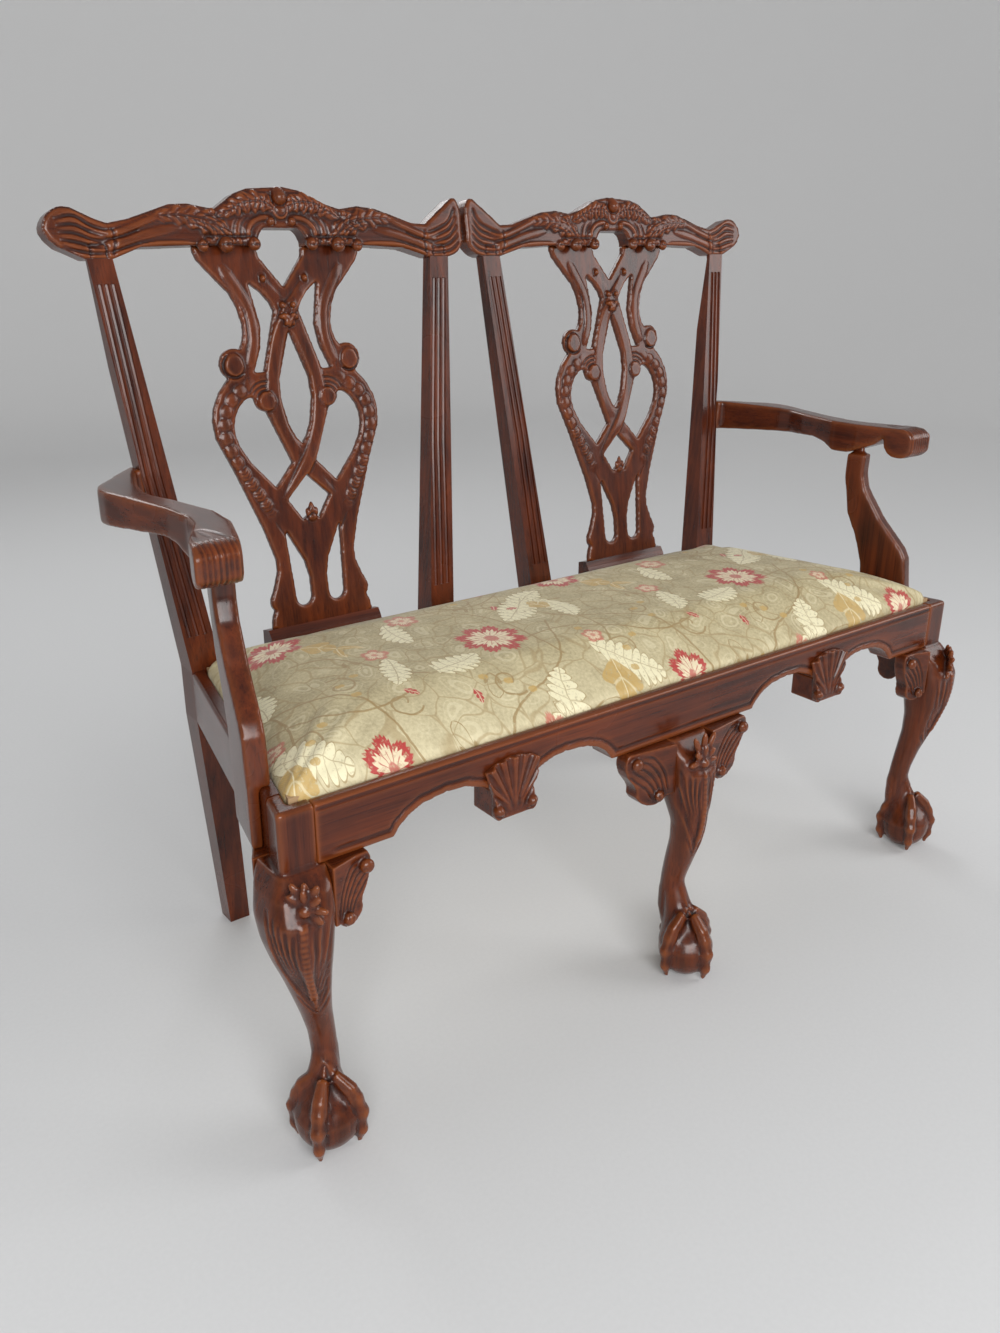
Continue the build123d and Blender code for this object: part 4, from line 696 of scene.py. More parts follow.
def carve_leg(name, node, knee_way, leaf_rise):
    """A leg with its rosette, leaves, toothed spine and knuckles. knee_way is how the knee faces."""
    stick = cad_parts[node]
    low_points = np.array([vertex.co[:] for vertex in stick.data.vertices if vertex.co.z < 0.03])
    foot = Vector((low_points.min(0) + low_points.max(0)) / 2)
    foot.z = 0.0
    way = Vector(knee_way).normalized()
    side = Vector((-way.y, way.x, 0))
    up = Vector((0, 0, 1))

    def skin(height, direction, off=Vector()):
        """Where the CAD leg's skin is met from one side at one height."""
        return stick.ray_cast(foot + up * height + off + direction * ray_length, -direction)[1]

    centre = skin(rosette_height, way) + way * 0.0005
    front_skin, back_skin = skin(ankle_top, way), skin(ankle_top, -way)
    off = (front_skin + back_skin) / 2 - foot - up * ankle_top
    right_skin, left_skin = skin(ankle_top, side, off), skin(ankle_top, -side, off)
    ankle_middle = (right_skin + left_skin) / 2
    ankle_half = ankle_fit * min((right_skin - left_skin).length, (front_skin - back_skin).length) / 2

    def add_forms(shape):
        rosette(shape, centre, way - up * rosette_droop)
        for spread in top_leaf_spreads:
            rise = up + side * spread + way * 0.05
            petal(shape, centre + rise * top_leaf_start, rise, way, leaf_rise, petal_width, petal_thick)
        rings = []
        for share in np.linspace(0, 1, ankle_rings):
            radius = ankle_half + (ankle_flare - ankle_half) * (1 - share) ** ankle_curve
            middle = (foot + up * ankle_low).lerp(ankle_middle, share)
            rings += round_rows(shape, [(radius, 0.0)], ankle_steps, middle)
        shape.faces.new(rings[0][::-1])
        shape.faces.new(rings[-1])
        bridge(shape, rings[::-1], closed=True)

    piece = blank(name, node, leg_voxel, add_forms)
    work = Carving(piece, foot, side, up, 2)
    high = work.points[:, 2]
    from_rosette = np.linalg.norm(work.points - np.array(centre) * 1000, axis=1)
    work.smooth(rising(high, knee_low, 12) * rising(high, knee_top, -10)
                * rising(from_rosette, rosette_guard, 8), knee_smoothing)
    work.look(way, 0.02, 0.3)
    for hand in (-1, 1):
        work.fan(to_hand(hand, knee_leaf_outer), to_hand(hand, knee_leaf_inner), leaf_groove_count,
                 groove_half_width, groove_depth, 0.25)
        work.fan(to_hand(hand, leaf_tip_outer), to_hand(hand, leaf_tip_inner), 3, 1.9, 1.4)
    spine, off, along, length = work.near(spine_route, spine_half_width)
    teeth = 0.55 + 0.45 * np.abs(np.sin(pi * along * length / spine_tooth))
    ridge = spine_height * teeth * dome(off / spine_half_width)
    work.height[spine] = np.maximum(work.height[spine], ridge)
    work.apply(by_normal=True)

    high = work.points[:, 2]
    around = np.arctan2(work.points[:, 1] - foot.y * 1000, work.points[:, 0] - foot.x * 1000)
    start = radians(45) if abs(way.x) > 0.1 else 0.0
    nearest = np.abs((around - start + pi / 4) % (pi / 2) - pi / 4)
    between = nearest > talon_half_turn
    work.smooth(between * rising(high, talon_top, -8) * rising(high, 5, 5), talon_smoothing)
    high = work.points[:, 2]
    work.facing[:] = 1
    webs = bump_at(high, web_middle, web_reach) * (high > web_foot)
    work.height = web_depth * webs * np.cos(4 * (around - start))
    on_talon = bump_at(nearest, 0, knuckle_half_turn)
    for knuckle in talon_knuckles:
        work.height += knuckle_height * bump_at(high, knuckle, knuckle_reach) * on_talon
    work.height *= rising(high, 4, 6)
    work.apply(by_normal=True)
    work.points[:, 2] = np.maximum(work.points[:, 2], 0.0)
    work.measure_normals()
    return work.done(along_z)


leg_right = carve_leg("leg_right", "front_leg_right", (1, -1, 0), corner_leaf_rise)
shown(leg_right, "front_leg_right")
shown(twin_of(leg_right, "leg_left", mirror_plane), "front_leg_left")
shown(carve_leg("leg_center", "front_leg_center", (0, -1, 0), center_leaf_rise), "front_leg_center")

# Knee brackets
# Six small blocks glued under the rails beside the knees, each carved with a leaf that
# ends in a rolled lobe above and a tight scroll below.
bracket_voxel = 0.0015
lobe_place = (0.82, 0.013, 0.004)
lobe_size = (0.0085, 0.006)
curl_place = (0.33, 0.013, 0.001)
curl_size = (0.0075, 0.0055)


def carve_bracket(node, face_way, away):
    """A bracket. face_way is how it faces, away how its outline runs from its leg."""
    low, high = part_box(node)
    away = Vector(away)
    length = abs((high - low).dot(away))
    near_leg = low if sum(away) > 0 else Vector(high)
    origin = Vector((near_leg.x if away.x else (low.x + high.x) / 2,
                     near_leg.y if away.y else (low.y + high.y) / 2, high.z))
    face = Vector(face_way)
    front = max(low.dot(face), high.dot(face))

    def add_scrolls(shape):
        rolls = ((high.z, -1, lobe_place, lobe_size), (low.z, 1, curl_place, curl_size))
        for edge, way, (share, rise, sunk), size in rolls if face_way[1] else ():
            middle = origin + away * (length * share)
            middle.z = edge + way * rise
            ball_on(shape, middle + face * (front - middle.dot(face) - sunk), *size, face)

    work = Carving(blank(node + "_carved", node, bracket_voxel, add_scrolls), origin, away, (0, 0, 1))
    work.look(face, 0.2)
    span = length * 1000
    drop = (low.z - high.z) * 1000
    work.fan([(span * 0.70, -6), (span * 0.45, -12), (span * 0.22, drop * 0.45), (span * 0.12, drop * 0.8)],
             [(span * 0.95, drop * 0.35), (span * 0.72, drop * 0.55), (span * 0.55, drop * 0.7),
              (span * 0.42, drop * 0.9)], 5, 2.0, 1.7, 0.2)
    work.apply()
    return work.done(along_x)


for hand, mark in (("right", 1), ("left", -1)):
    for node, face_way, away in (
            (f"knee_bracket_{hand}_front", (0, -1, 0), (-mark, 0, 0)),
            (f"knee_bracket_{hand}_side", (mark, 0, 0), (0, 1, 0)),
            (f"knee_bracket_center_{hand}", (0, -1, 0), (mark, 0, 0))):
        shown(carve_bracket(node, face_way, away), node)

# Apron shells
# A fluted shell glued over each stub in the middle of a pair of arches, with a small
# scroll at each lower corner.
shell_voxel = 0.0013
shell_scroll = 0.0075
shell_eye = 6.0
flute_spread = 6.975


def carve_shell():
    """The right shell with its radiating flutes."""
    low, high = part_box("apron_shell_right")
    centre = Vector(((low.x + high.x) / 2, low.y, low.z))

    def add_scrolls(shape):
        for way in (-1, 1):
            scroll = Vector((way * ((high.x - low.x) / 2 - 0.016), 0.0035, 0.012))
            ball_on(shape, centre + scroll, shell_scroll, shell_scroll, (0, -1, 0))

    piece = blank("shell_right", "apron_shell_right", shell_voxel, add_scrolls)
    work = Carving(piece, centre, (1, 0, 0), (0, 0, 1))
    turn = np.arctan2(work.u, work.v + shell_eye)
    radius = np.hypot(work.u, work.v + shell_eye)
    work.height += rising(radius, 14, 14) * (2.2 * np.abs(np.cos(turn * flute_spread)) - 1.6)
    work.apply()
    return work.done(along_x)


shell_right = carve_shell()
shown(shell_right, "apron_shell_right")
shown(twin_of(shell_right, "shell_left", mirror_plane), "apron_shell_left")

# Front rail
# Sawn to two pairs of arches, with a rounded lip round the seat over a quirk line and a
# bead left standing along the arches.
rail_voxel = 0.0022
arch_spring = -69.0
quirk_drop = -6.5


def carve_front_rail():
    """The front rail with its lip and its beaded arches."""
    low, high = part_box("front_rail")
    piece = blank("front_rail_carved", "front_rail", rail_voxel)
    work = Carving(piece, (0, low.y, high.z), (1, 0, 0), (0, 0, 1))
    sawn = np.nonzero((work.normals[:, 2] < -0.35) & (work.points[:, 1] < low.y * 1000 + 12))[0]
    front = np.nonzero(work.facing > 0)[0]
    off = np.full(len(work.points), 99.0)
    off[front] = work.from_sawn(sawn, front)
    half = (high.x - low.x) * 500
    arched = rising(work.v, arch_spring, 3) * rising(np.abs(work.u), half - 40, -10)
    work.height += arched * (0.8 * bump_at(off, 5.0, 3.0) - 1.9 * bump_at(off, 9.5, 1.5))
    work.gouge([(-half - 20, quirk_drop), (0, quirk_drop), (half + 20, quirk_drop)], 1.9, 1.7, 0)
    work.apply()
    return work.done(along_x)


shown(carve_front_rail(), "front_rail")

# Crest rails
# One eared rail for each chair back, sawn from thick board and carved: leaves over a
# keyhole arch, a pearl on top, balls at the splat's shoulders, long mouldings to the ears.
crest_voxel = 0.0016
back_rake = radians(8.0)
back_middle = 0.2875
rail_low, rail_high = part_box("rear_rail")
back_origin = Vector((back_middle, rail_low.y, rail_high.z))
back_up = Vector((0, sin(back_rake), cos(back_rake)))
back_out = Vector((0, -cos(back_rake), sin(back_rake)))
pearls = ((0.0, 580.0, 5.0, 9.5), (79.0, 524.0, 3.0, 10.0), (41.0, 525.0, 3.0, 8.5), (109.0, 523.0, 1.5, 7.5),
          (15.0, 552.0, 3.0, 5.5), (92.0, 563.0, 2.0, 4.5))
pearl_place = (0, 566)
crest_edge = (4.5, 3.5)
crest_beads = (
    (((150, 559), (168, 554), (192, 545), (222, 536), (244, 538)), 4.2, 2.6),
    (((110, 524), (125, 525), (150, 526), (178, 524), (202, 518), (226, 509)), 3.6, 2.4),
    (((134, 545), (165, 539), (195, 531), (222, 523), (240, 521)), 6.0, 2.4),
)
crest_gouges = (
    (((146, 551), (175, 545), (205, 534), (236, 529)), 2.4, 1.8),
    (((128, 534), (160, 532), (195, 524), (232, 514)), 2.4, 1.8),
)
ear_outer = ((224, 540), (243, 546), (262, 556))
ear_inner = ((228, 508), (244, 507), (262, 508), (278, 516))
ear_tip = {1: (284, 552), -1: (272, 574)}
ear_end = ((219, 544), (217, 530), (221, 510))
side_leaf = ((70, 528), (84, 541), (104, 552), (134, 558), (172, 556))
top_leaf = ((6, 566), (24, 575), (48, 574), (70, 564), (86, 556))
keyhole_bead = ((43, 520), (47, 533), (45, 545), (34, 554), (16, 558))
keyhole_gouge = ((52, 520), (56, 535), (54, 548), (44, 558))
leaf_end_gouge = ((60, 524), (66, 536), (64, 548), (58, 556))
side_veins = (((94, 526), (98, 538), (112, 546), (130, 549)), ((72, 535), (78, 546), (92, 556), (112, 562)))
top_veins = (((14, 585), (20, 577), (22, 566)), ((66, 573), (62, 566), (56, 558)))


def on_back(u, v, w=0.0):
    """A place on the right chair back's plane, from millimetres across, up and proud."""
    return back_origin + Vector((u, 0, 0)) / 1000 + back_up * v / 1000 + back_out * w / 1000


def carve_crest():
    """The right crest rail."""
    def add_pearls(shape):
        for u, v, w, radius in pearls:
            for hand in (-1, 1) if u else (1,):
                ball_on(shape, on_back(hand * u, v, w), radius / 1000, radius / 1000, back_out)

    piece = blank("crest_right", "crest_rail_right", crest_voxel, add_pearls)
    work = Carving(piece, back_origin, (1, 0, 0), back_up)
    pearly = np.zeros(len(work.points))
    for u, v, w, radius in pearls:
        reach = np.hypot(np.abs(work.u) - u, work.v - v)
        pearly = np.maximum(pearly, np.clip(2.4 - 2 * reach / radius, 0, 1))
    work.soften_edges(*crest_edge)
    sawn = work.height.copy()
    work.height[:] = 0
    for hand in (-1, 1):
        for route, half_width, height in crest_beads:
            work.bead(to_hand(hand, route), half_width, height)
        for route, half_width, depth in crest_gouges:
            work.gouge(to_hand(hand, route), half_width, depth)
        ear = to_hand(hand, ear_outer + (ear_tip[hand],))
        work.fan(ear, to_hand(hand, ear_inner), 6, 2.8, 2.6, 0.22)
        work.gouge(to_hand(hand, ear_end), 2.6, 2.2, 0.15)
        work.leaf(to_hand(hand, side_leaf), 13.5, 4.6, 6, hand)
        work.leaf(to_hand(hand, top_leaf), 12.5, 4.8, 6, -hand)
        work.bead(to_hand(hand, keyhole_bead), 3.6, 3.2, 0.1)
        work.gouge(to_hand(hand, keyhole_gouge), 2.2, 1.8)
        work.fan(*(to_hand(hand, vein) for vein in side_veins), 4, 1.6, 1.5, 0.25)
        work.fan(*(to_hand(hand, vein) for vein in top_veins), 7, 1.5, 1.5, 0.2)
        work.gouge(to_hand(hand, leaf_end_gouge), 2.0, 1.5)
    work.ring(*pearl_place, 0, 8.5, 4.0)
    work.ring(*pearl_place, 9.5, 2.2, 3.4)
    work.height = sawn * (1 - 0.3 * pearly) + work.height * (1 - pearly)
    work.apply()
    return work.done(along_x)


crest_right = carve_crest()
shown(crest_right, "crest_rail_right")
shown(twin_of(crest_right, "crest_left", mirror_plane), "crest_rail_left")

# Splats
# A pierced board for each back, let into the shoe and the crest rail: straps that pass
# over and under each other, rolled scrolls and a heart-shaped band carved with leaves.
# Routes are given as shares of the splat's half-width and height.
splat_voxel = 0.0016
splat_half = 122.0
splat_front = -11.0
splat_foot = (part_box("splat_shoe_right")[1].z - rail_high.z) * 1000 / cos(back_rake)
splat_top = 519.0
discs = (((0.69, 0.715), 0.0125, 3.2), ((0.37, 0.618), 0.0115, 3.6))
small_balls = ((0.245, 0.93), (0.055, 0.862))
small_ball_radius = 0.0043
small_ball_rise = 2.5
flower_place = (0.0, 0.835)
flower_turns = (-150, -95, 95, 150, 180)
tulip_place = (0.0, 0.285)
tulip_petals = ((-0.42, 0.020), (0.42, 0.020), (0.0, 0.027))
splat_edge = (3.2, 2.5)
bead_spacing = 17.0
ribbon_spacing = 5.5
curl_radii = (14.0, 20.0, 26.0)
crossing_high = 0.845
crossing_low = 0.44
crossing_reach = 26.0
heart_band = ((0.47, 0.672), (0.62, 0.655), (0.755, 0.632), (0.855, 0.595), (0.885, 0.552), (0.862, 0.508),
              (0.775, 0.455), (0.655, 0.40), (0.545, 0.352), (0.44, 0.302))
shoulder = ((0.70, 0.965), (0.60, 0.925), (0.50, 0.885), (0.445, 0.85), (0.425, 0.81), (0.43, 0.775),
            (0.47, 0.735), (0.53, 0.71))
shoulder_quirk = ((0.56, 0.88), (0.50, 0.85), (0.48, 0.81), (0.485, 0.775), (0.53, 0.745))
strap = ((0.33, 0.935), (0.15, 0.885), (0.0, 0.845), (-0.07, 0.815), (-0.13, 0.785), (-0.19, 0.745),
         (-0.24, 0.70), (-0.27, 0.65), (-0.27, 0.61), (-0.24, 0.56), (-0.17, 0.51), (-0.07, 0.465),
         (0.0, 0.44), (0.1, 0.405), (0.2, 0.37), (0.30, 0.335))
strap_half_width = 9.5
foot_quirk = ((0.47, 0.30), (0.40, 0.275), (0.28, 0.22), (0.17, 0.165))


def carve_splat():
    """The right splat."""
    def at(share_u, share_v):
        return share_u * splat_half, splat_foot + share_v * (splat_top - splat_foot)

    def to(hand, shares):
        return to_hand(hand, [at(*share) for share in shares])

    def add_forms(shape):
        lying = Matrix.Rotation(pi / 2 - back_rake, 4, "X")
        for hand in (-1, 1):
            for place, radius, proud in discs:
                middle = on_back(*to(hand, [place])[0], splat_front)
                bmesh.ops.create_cone(shape, segments=40, radius1=radius, radius2=radius, depth=proud / 500,
                                      cap_ends=True, matrix=Matrix.Translation(middle) @ lying)
            for middle in to(hand, small_balls):
                ball_on(shape, on_back(*middle, splat_front + small_ball_rise), small_ball_radius,
                        small_ball_radius, back_out)
        for turn in flower_turns:
            spread = back_up * cos(radians(turn)) + Vector((1, 0, 0)) * sin(radians(turn)) + back_out * 0.1
            petal(shape, on_back(*at(*flower_place), splat_front + 2), spread, back_out, 0.015, 0.0085, 0.007)
        for spread, length in tulip_petals:
            petal(shape, on_back(*at(*tulip_place), splat_front), back_up + Vector((spread, 0, 0)), back_out,
                  length, 0.010, 0.008)

    def curl(hand, place, radius, turns, *sizes):
        """A gouge cut round a disc."""
        u, v = at(*place)
        work.gouge([(hand * (u + radius * cos(radians(turn))), v + radius * sin(radians(turn)))
                    for turn in turns], *sizes)

    piece = blank("splat_right_carved", "splat_right", splat_voxel, add_forms)
    work = Carving(piece, back_origin, (1, 0, 0), back_up)
    work.soften_edges(*splat_edge)
    sawn = work.height.copy()
    work.height[:] = 0
    for hand in (-1, 1):
        picked, off, along, length = work.near(to(hand, heart_band), 13)
        beads = np.abs(np.sin(pi * along * length / bead_spacing)) ** 0.6
        swell = swollen(along, 0.12)
        share = np.clip(off / (4.5 + 4.0 * beads), 0, 1)
        work.height[picked] += swell * 2.6 * dome(share) * (0.45 + 0.55 * beads)
        lean = np.sin(2 * pi * (along * length + off / 2) / ribbon_spacing)
        late = rising(along, 0.55, 0.15)
        work.height[picked] -= swell * late * 0.9 * (lean > 0) * lean * np.clip(1 - share ** 4, 0, 1)
        for radius in curl_radii:
            curl(hand, discs[1][0], radius, range(25, 206, 20), 1.9, 1.9, 0.15)
        curl(hand, discs[0][0], 14.5, range(-150, 91, 20), 2.4, 3.0, 0.12)
        work.bead(to(hand, shoulder), 7.5, 1.8, 0.1)
        work.gouge(to(hand, shoulder_quirk), 1.8, 1.2)
    for hand in (-1, 1):
        picked, off, along, _ = work.near(to(hand, strap), strap_half_width + 1)
        upper = bump_at(work.v[picked], at(0, crossing_high)[1], crossing_reach)
        lower = bump_at(work.v[picked], at(0, crossing_low)[1], crossing_reach)
        over, under = (upper, lower) if hand > 0 else (lower, upper)
        rise = swollen(along, 0.08) * (1.2 + 2.6 * over - 1.6 * under) * dome((off / strap_half_width) ** 2)
        before = work.height[picked]
        work.height[picked] = np.where(off < strap_half_width, np.maximum(before, rise), before)
        work.gouge(to(hand, foot_quirk), 1.6, 1.0)
    for place, radius, _ in discs:
        u, v = at(*place)
        work.height[np.hypot(np.abs(work.u) - u, work.v - v) < radius * 1000] = 0
    work.height += sawn
    work.apply()
    return work.done(along_z)


splat_right = carve_splat()
shown(splat_right, "splat_right")
shown(twin_of(splat_right, "splat_left_carved", Matrix.Translation((-2 * back_middle, 0, 0))), "splat_left")

# Arms and supports
# Out-scrolled arms sawn from the solid and rounded over, with a reeded knuckle and three
# gouge cuts on top of it, on S-shaped supports screwed to the outside of the side rails.
arm_voxel = 0.002
arm_softness = 11
support_softness = 16
knuckle_length = 30.0
knuckle_radius = 23.0
reed_pitch = 5.6
reed_height = 1.5


def carve_arm():
    """The right arm with its reeded knuckle."""
    low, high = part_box("arm_right")
    piece = blank("arm_right_carved", "arm_right", arm_voxel)
    work = Carving(piece, (0, low.y, high.z), (1, 0, 0), (0, 1, 0), arm_softness)
    x, y, z = work.points.T
    knuckle = work.points[y < low.y * 1000 + knuckle_length]
    left_edge, right_edge = knuckle[:, 0].min(), knuckle[:, 0].max()
    axis_y = low.y * 1000 + knuckle_radius
    axis_z = knuckle[:, 2].max() - knuckle_radius
    turn = np.degrees(np.arctan2(z - axis_z, axis_y - y))
    front = (y < axis_y + 4) & (np.hypot(y - axis_y, z - axis_z) > 15)
    inside = rising(np.minimum(x - left_edge, right_edge - x), 3, 3)
    fade = rising(turn, -75, 20) * rising(turn, 100, -20)
    reeds = np.abs(np.sin(pi * (x - left_edge) / reed_pitch)) ** 0.7
    work.facing = 1.0 * front * (np.abs(work.normals[:, 0]) < 0.6)
    work.height = reed_height * inside * fade * (reeds - 0.75)
    work.apply(by_normal=True)
    work.face(((left_edge + right_edge) / 2000, low.y, high.z), (1, 0, 0), (0, 1, 0))
    work.look((0, 0, 1), 0.5, 0.3)
    work.fan([(-14, 28), (-11, 46), (-3, 66)], [(14, 28), (11, 46), (3, 66)], 3, 3.0, 0.9)
    work.apply()
    return work.done(along_y)


def round_support():
    """The right arm support, its arrises rounded over."""
    piece = blank("support_right_carved", "arm_support_right", arm_voxel)
    work = Carving(piece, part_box("arm_support_right")[0], (0, 1, 0), (0, 0, 1), support_softness)
    return work.done(along_z)


arm_right = carve_arm()
support_right = round_support()
shown(arm_right, "arm_right")
shown(twin_of(arm_right, "arm_left_carved", mirror_plane), "arm_left")
shown(support_right, "arm_support_right")
shown(twin_of(support_right, "support_left_carved", mirror_plane), "arm_support_left")

# Hidden beech and steel
# Plain planed beech inside: corner blocks, the medial rail, the cleat and the seat's
# own half-lapped frame, with slotted steel screws and blued tacks.
beech_pale = (0.46, 0.31, 0.17, 1.0)
beech_dark = (0.33, 0.20, 0.10, 1.0)
steel_colour = (0.33, 0.32, 0.30, 1.0)
steel_dark = (0.10, 0.08, 0.06, 1.0)
blued_colour = (0.05, 0.055, 0.07, 1.0)
fleck_share = 0.4
beech_roughness = 0.5
rust_scale = 320.0


def beech(name, stretch):
    """Planed beech with its short dark flecks."""
    def finish(tree):
        figure, pores, clouds = grouped(tree, wood_grain, own_place(tree), stretch)
        colour = (pores * fleck_share).blend(figure.blend(beech_pale, beech_dark), beech_dark)
        return {"Base Color": colour, "Roughness": clouds * 0.15 + beech_roughness,
                "Normal": bumped(figure, 0.2, 0.0006)}
    return surface(name, finish)


def steel(name, bright, rough_low):
    """Steel with a little rust in patches."""
    def finish(tree):
        rust = own_place(tree).noise(rust_scale, 4.0).ramp(0.45, 0.7)
        return {"Base Color": rust.blend(bright, steel_dark), "Roughness": rust * 0.3 + rough_low}
    return surface(name, finish, Metallic=0.9)


corner_blocks = [f"corner_block_{end}_{hand}" for end in ("front", "rear") for hand in ("left", "right")]
finish_nodes(beech("beech_long", (4.0, 70.0, 70.0)), "rear_seat_cleat", "seat_frame_front", "seat_frame_back",
             *corner_blocks)
finish_nodes(beech("beech_deep", (70.0, 4.0, 70.0)), "medial_rail", "seat_frame_left", "seat_frame_right",
             "seat_frame_middle")
finish_nodes(steel("screw_steel_worn", steel_colour, 0.32), "arm_support_screws", "center_leg_screws",
             "corner_block_screws")
finish_nodes(steel("tack_steel_blued", blued_colour, 0.35), "seat_tacks")

# Webbing and hessian
# Jute straps interlaced over the seat frame, under a coarse jute cloth that is tacked
# over them to carry the stuffing.
jute_pale = (0.42, 0.31, 0.18, 1.0)
jute_dark = (0.20, 0.13, 0.07, 1.0)
strap_threads = 420.0
hessian_threads = 700.0
slub_scale = 90.0


def plain_weave_threads(place, threads):
    """Threads over and under each other, as a height and a gap mask."""
    scaled = wire_from(place.tree, "ShaderNodeVectorMath", place, operation="SCALE", fed={"Scale": threads})
    x, y, _ = scaled.parts()
    warp, weft = (x * pi).sine(), (y * pi).sine()
    over = abs(warp) * abs(weft)
    return warp * weft * 0.25 + over, over.ramp(0.25, 0.05)


plain_weave = shared_group("plain_weave", "Place Threads", "Height Gaps", plain_weave_threads)


def plain_cloth(name, pale, dark, threads):
    """Plain woven cloth."""
    def finish(tree):
        place = own_place(tree)
        height, gaps = grouped(tree, plain_weave, place, threads)
        share = gaps.highest(place.noise(slub_scale, 3.0).ramp(0.5, 0.9))
        return {"Base Color": share.blend(pale, dark), "Normal": bumped(height, 0.5, 0.0008)}
    return surface(name, finish, Roughness=0.9)


finish_nodes(plain_cloth("jute_straps", jute_pale, jute_dark, strap_threads), "seat_webbing")
finish_nodes(plain_cloth("hessian_cloth", jute_pale, jute_dark, hessian_threads), "seat_hessian")

# Dust cover
# Black cotton stretched under the seat frame and tacked at its edge, with a slight sag
# and a pull at each tack.
dust_low, dust_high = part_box("seat_dust_cover")
dust_sag = 0.0006
dust_columns = 96
dust_rows = 36
tack_spacing = 8
tack_pull = 0.4
tack_reach = 9
cotton_pale = (0.014, 0.014, 0.016, 1.0)
cotton_dark = (0.004, 0.004, 0.005, 1.0)
cotton_threads = 1400.0


def half_widths(node, margin):
    """Half a flat piece's width at its front and back edge."""
    low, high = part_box(node)
    x, y, _ = rows_of(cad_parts[node].data.vertices, "co", 3).T
    return x[y < low.y + margin].max(), x[y > high.y - margin].max()


dust_front, dust_back = half_widths("seat_dust_cover", 0.02)
dust_depth = dust_high.y - dust_low.y
dust = bmesh.new()
dust_grid = []
for row in range(dust_rows + 1):
    share = row / dust_rows
    half = dust_front + (dust_back - dust_front) * share
    near_edge = max(0.0, 1 - min(share, 1 - share) * tack_reach)
    dust_grid.append([])
    for column in range(dust_columns + 1):
        x = half * (2 * column / dust_columns - 1)
        pull = abs(sin(pi * column / tack_spacing)) * near_edge
        sag = dust_sag * (sin(pi * share) + tack_pull * pull)
        place = (x, dust_low.y + dust_depth * share, (dust_low.z + dust_high.z) / 2 - sag)
        dust_grid[-1].append(dust.verts.new(place))
bridge(dust, dust_grid)
black_cotton = plain_cloth("black_cotton", cotton_pale, cotton_dark, cotton_threads)
dust_cover = in_scene("dust_cover", mesh_from(dust, "dust_cover"), black_cotton)
shown(dust_cover, "seat_dust_cover", body="drop_in_seat", slot_name="black_cloth")

# Seat cover
# One loose seat for the whole settee: woven floral cloth pulled over horsehair and
# tacked under the frame. Its top is blown up by a cloth simulation, held at the rim.
seat_low, seat_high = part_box("seat_cover")
seat_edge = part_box("seat_frame_front")[1].z
seat_depth = seat_high.y - seat_low.y
seat_front, seat_back = half_widths("seat_cover", 0.03)
side_spread = 0.200
end_spread = 0.165
corner_radius = 0.020
corner_power = 5
column_bunching = 0.35
least_rise = 0.0004
seat_columns = 156
seat_rows = 60
skirt_rows = 3
hem_width = 0.020
under_shrink = (0.96, 0.9)
swell_limit = 0.010
swell_pressure = 4.0
swell_frames = 20


def seat_spot(column, row):
    """A place on the seat's crowned top, with its corners rounded in plan."""
    s = 2 * column / seat_columns - 1
    t = row / seat_rows
    s = sin(s * pi / 2) * column_bunching + s * (1 - column_bunching)
    t = 0.5 - 0.5 * (cos(pi * t) * column_bunching + (1 - 2 * t) * (1 - column_bunching))
    half = seat_front + (seat_back - seat_front) * t
    from_side = half * (1 - abs(s))
    from_end = seat_depth * min(t, 1 - t)
    x, y = half * s, seat_low.y + seat_depth * t
    if from_side < corner_radius and from_end < corner_radius:
        a, b = corner_radius - from_side, corner_radius - from_end
        squeeze = max(a, b) / hypot(a, b)
        x = (half - corner_radius + a * squeeze) * (1 if s > 0 else -1)
        inset = corner_radius - b * squeeze
        y = seat_low.y + (inset if t < 0.5 else seat_depth - inset)
    rises = [max(1 - max(0.0, 1 - off / spread) ** 2, least_rise) ** 0.5
             for off, spread in ((from_side, side_spread), (from_end, end_spread))]
    both = sum(rise ** -corner_power for rise in rises) ** (-1 / corner_power)
    return x, y, seat_edge + (seat_high.z - seat_edge) * both


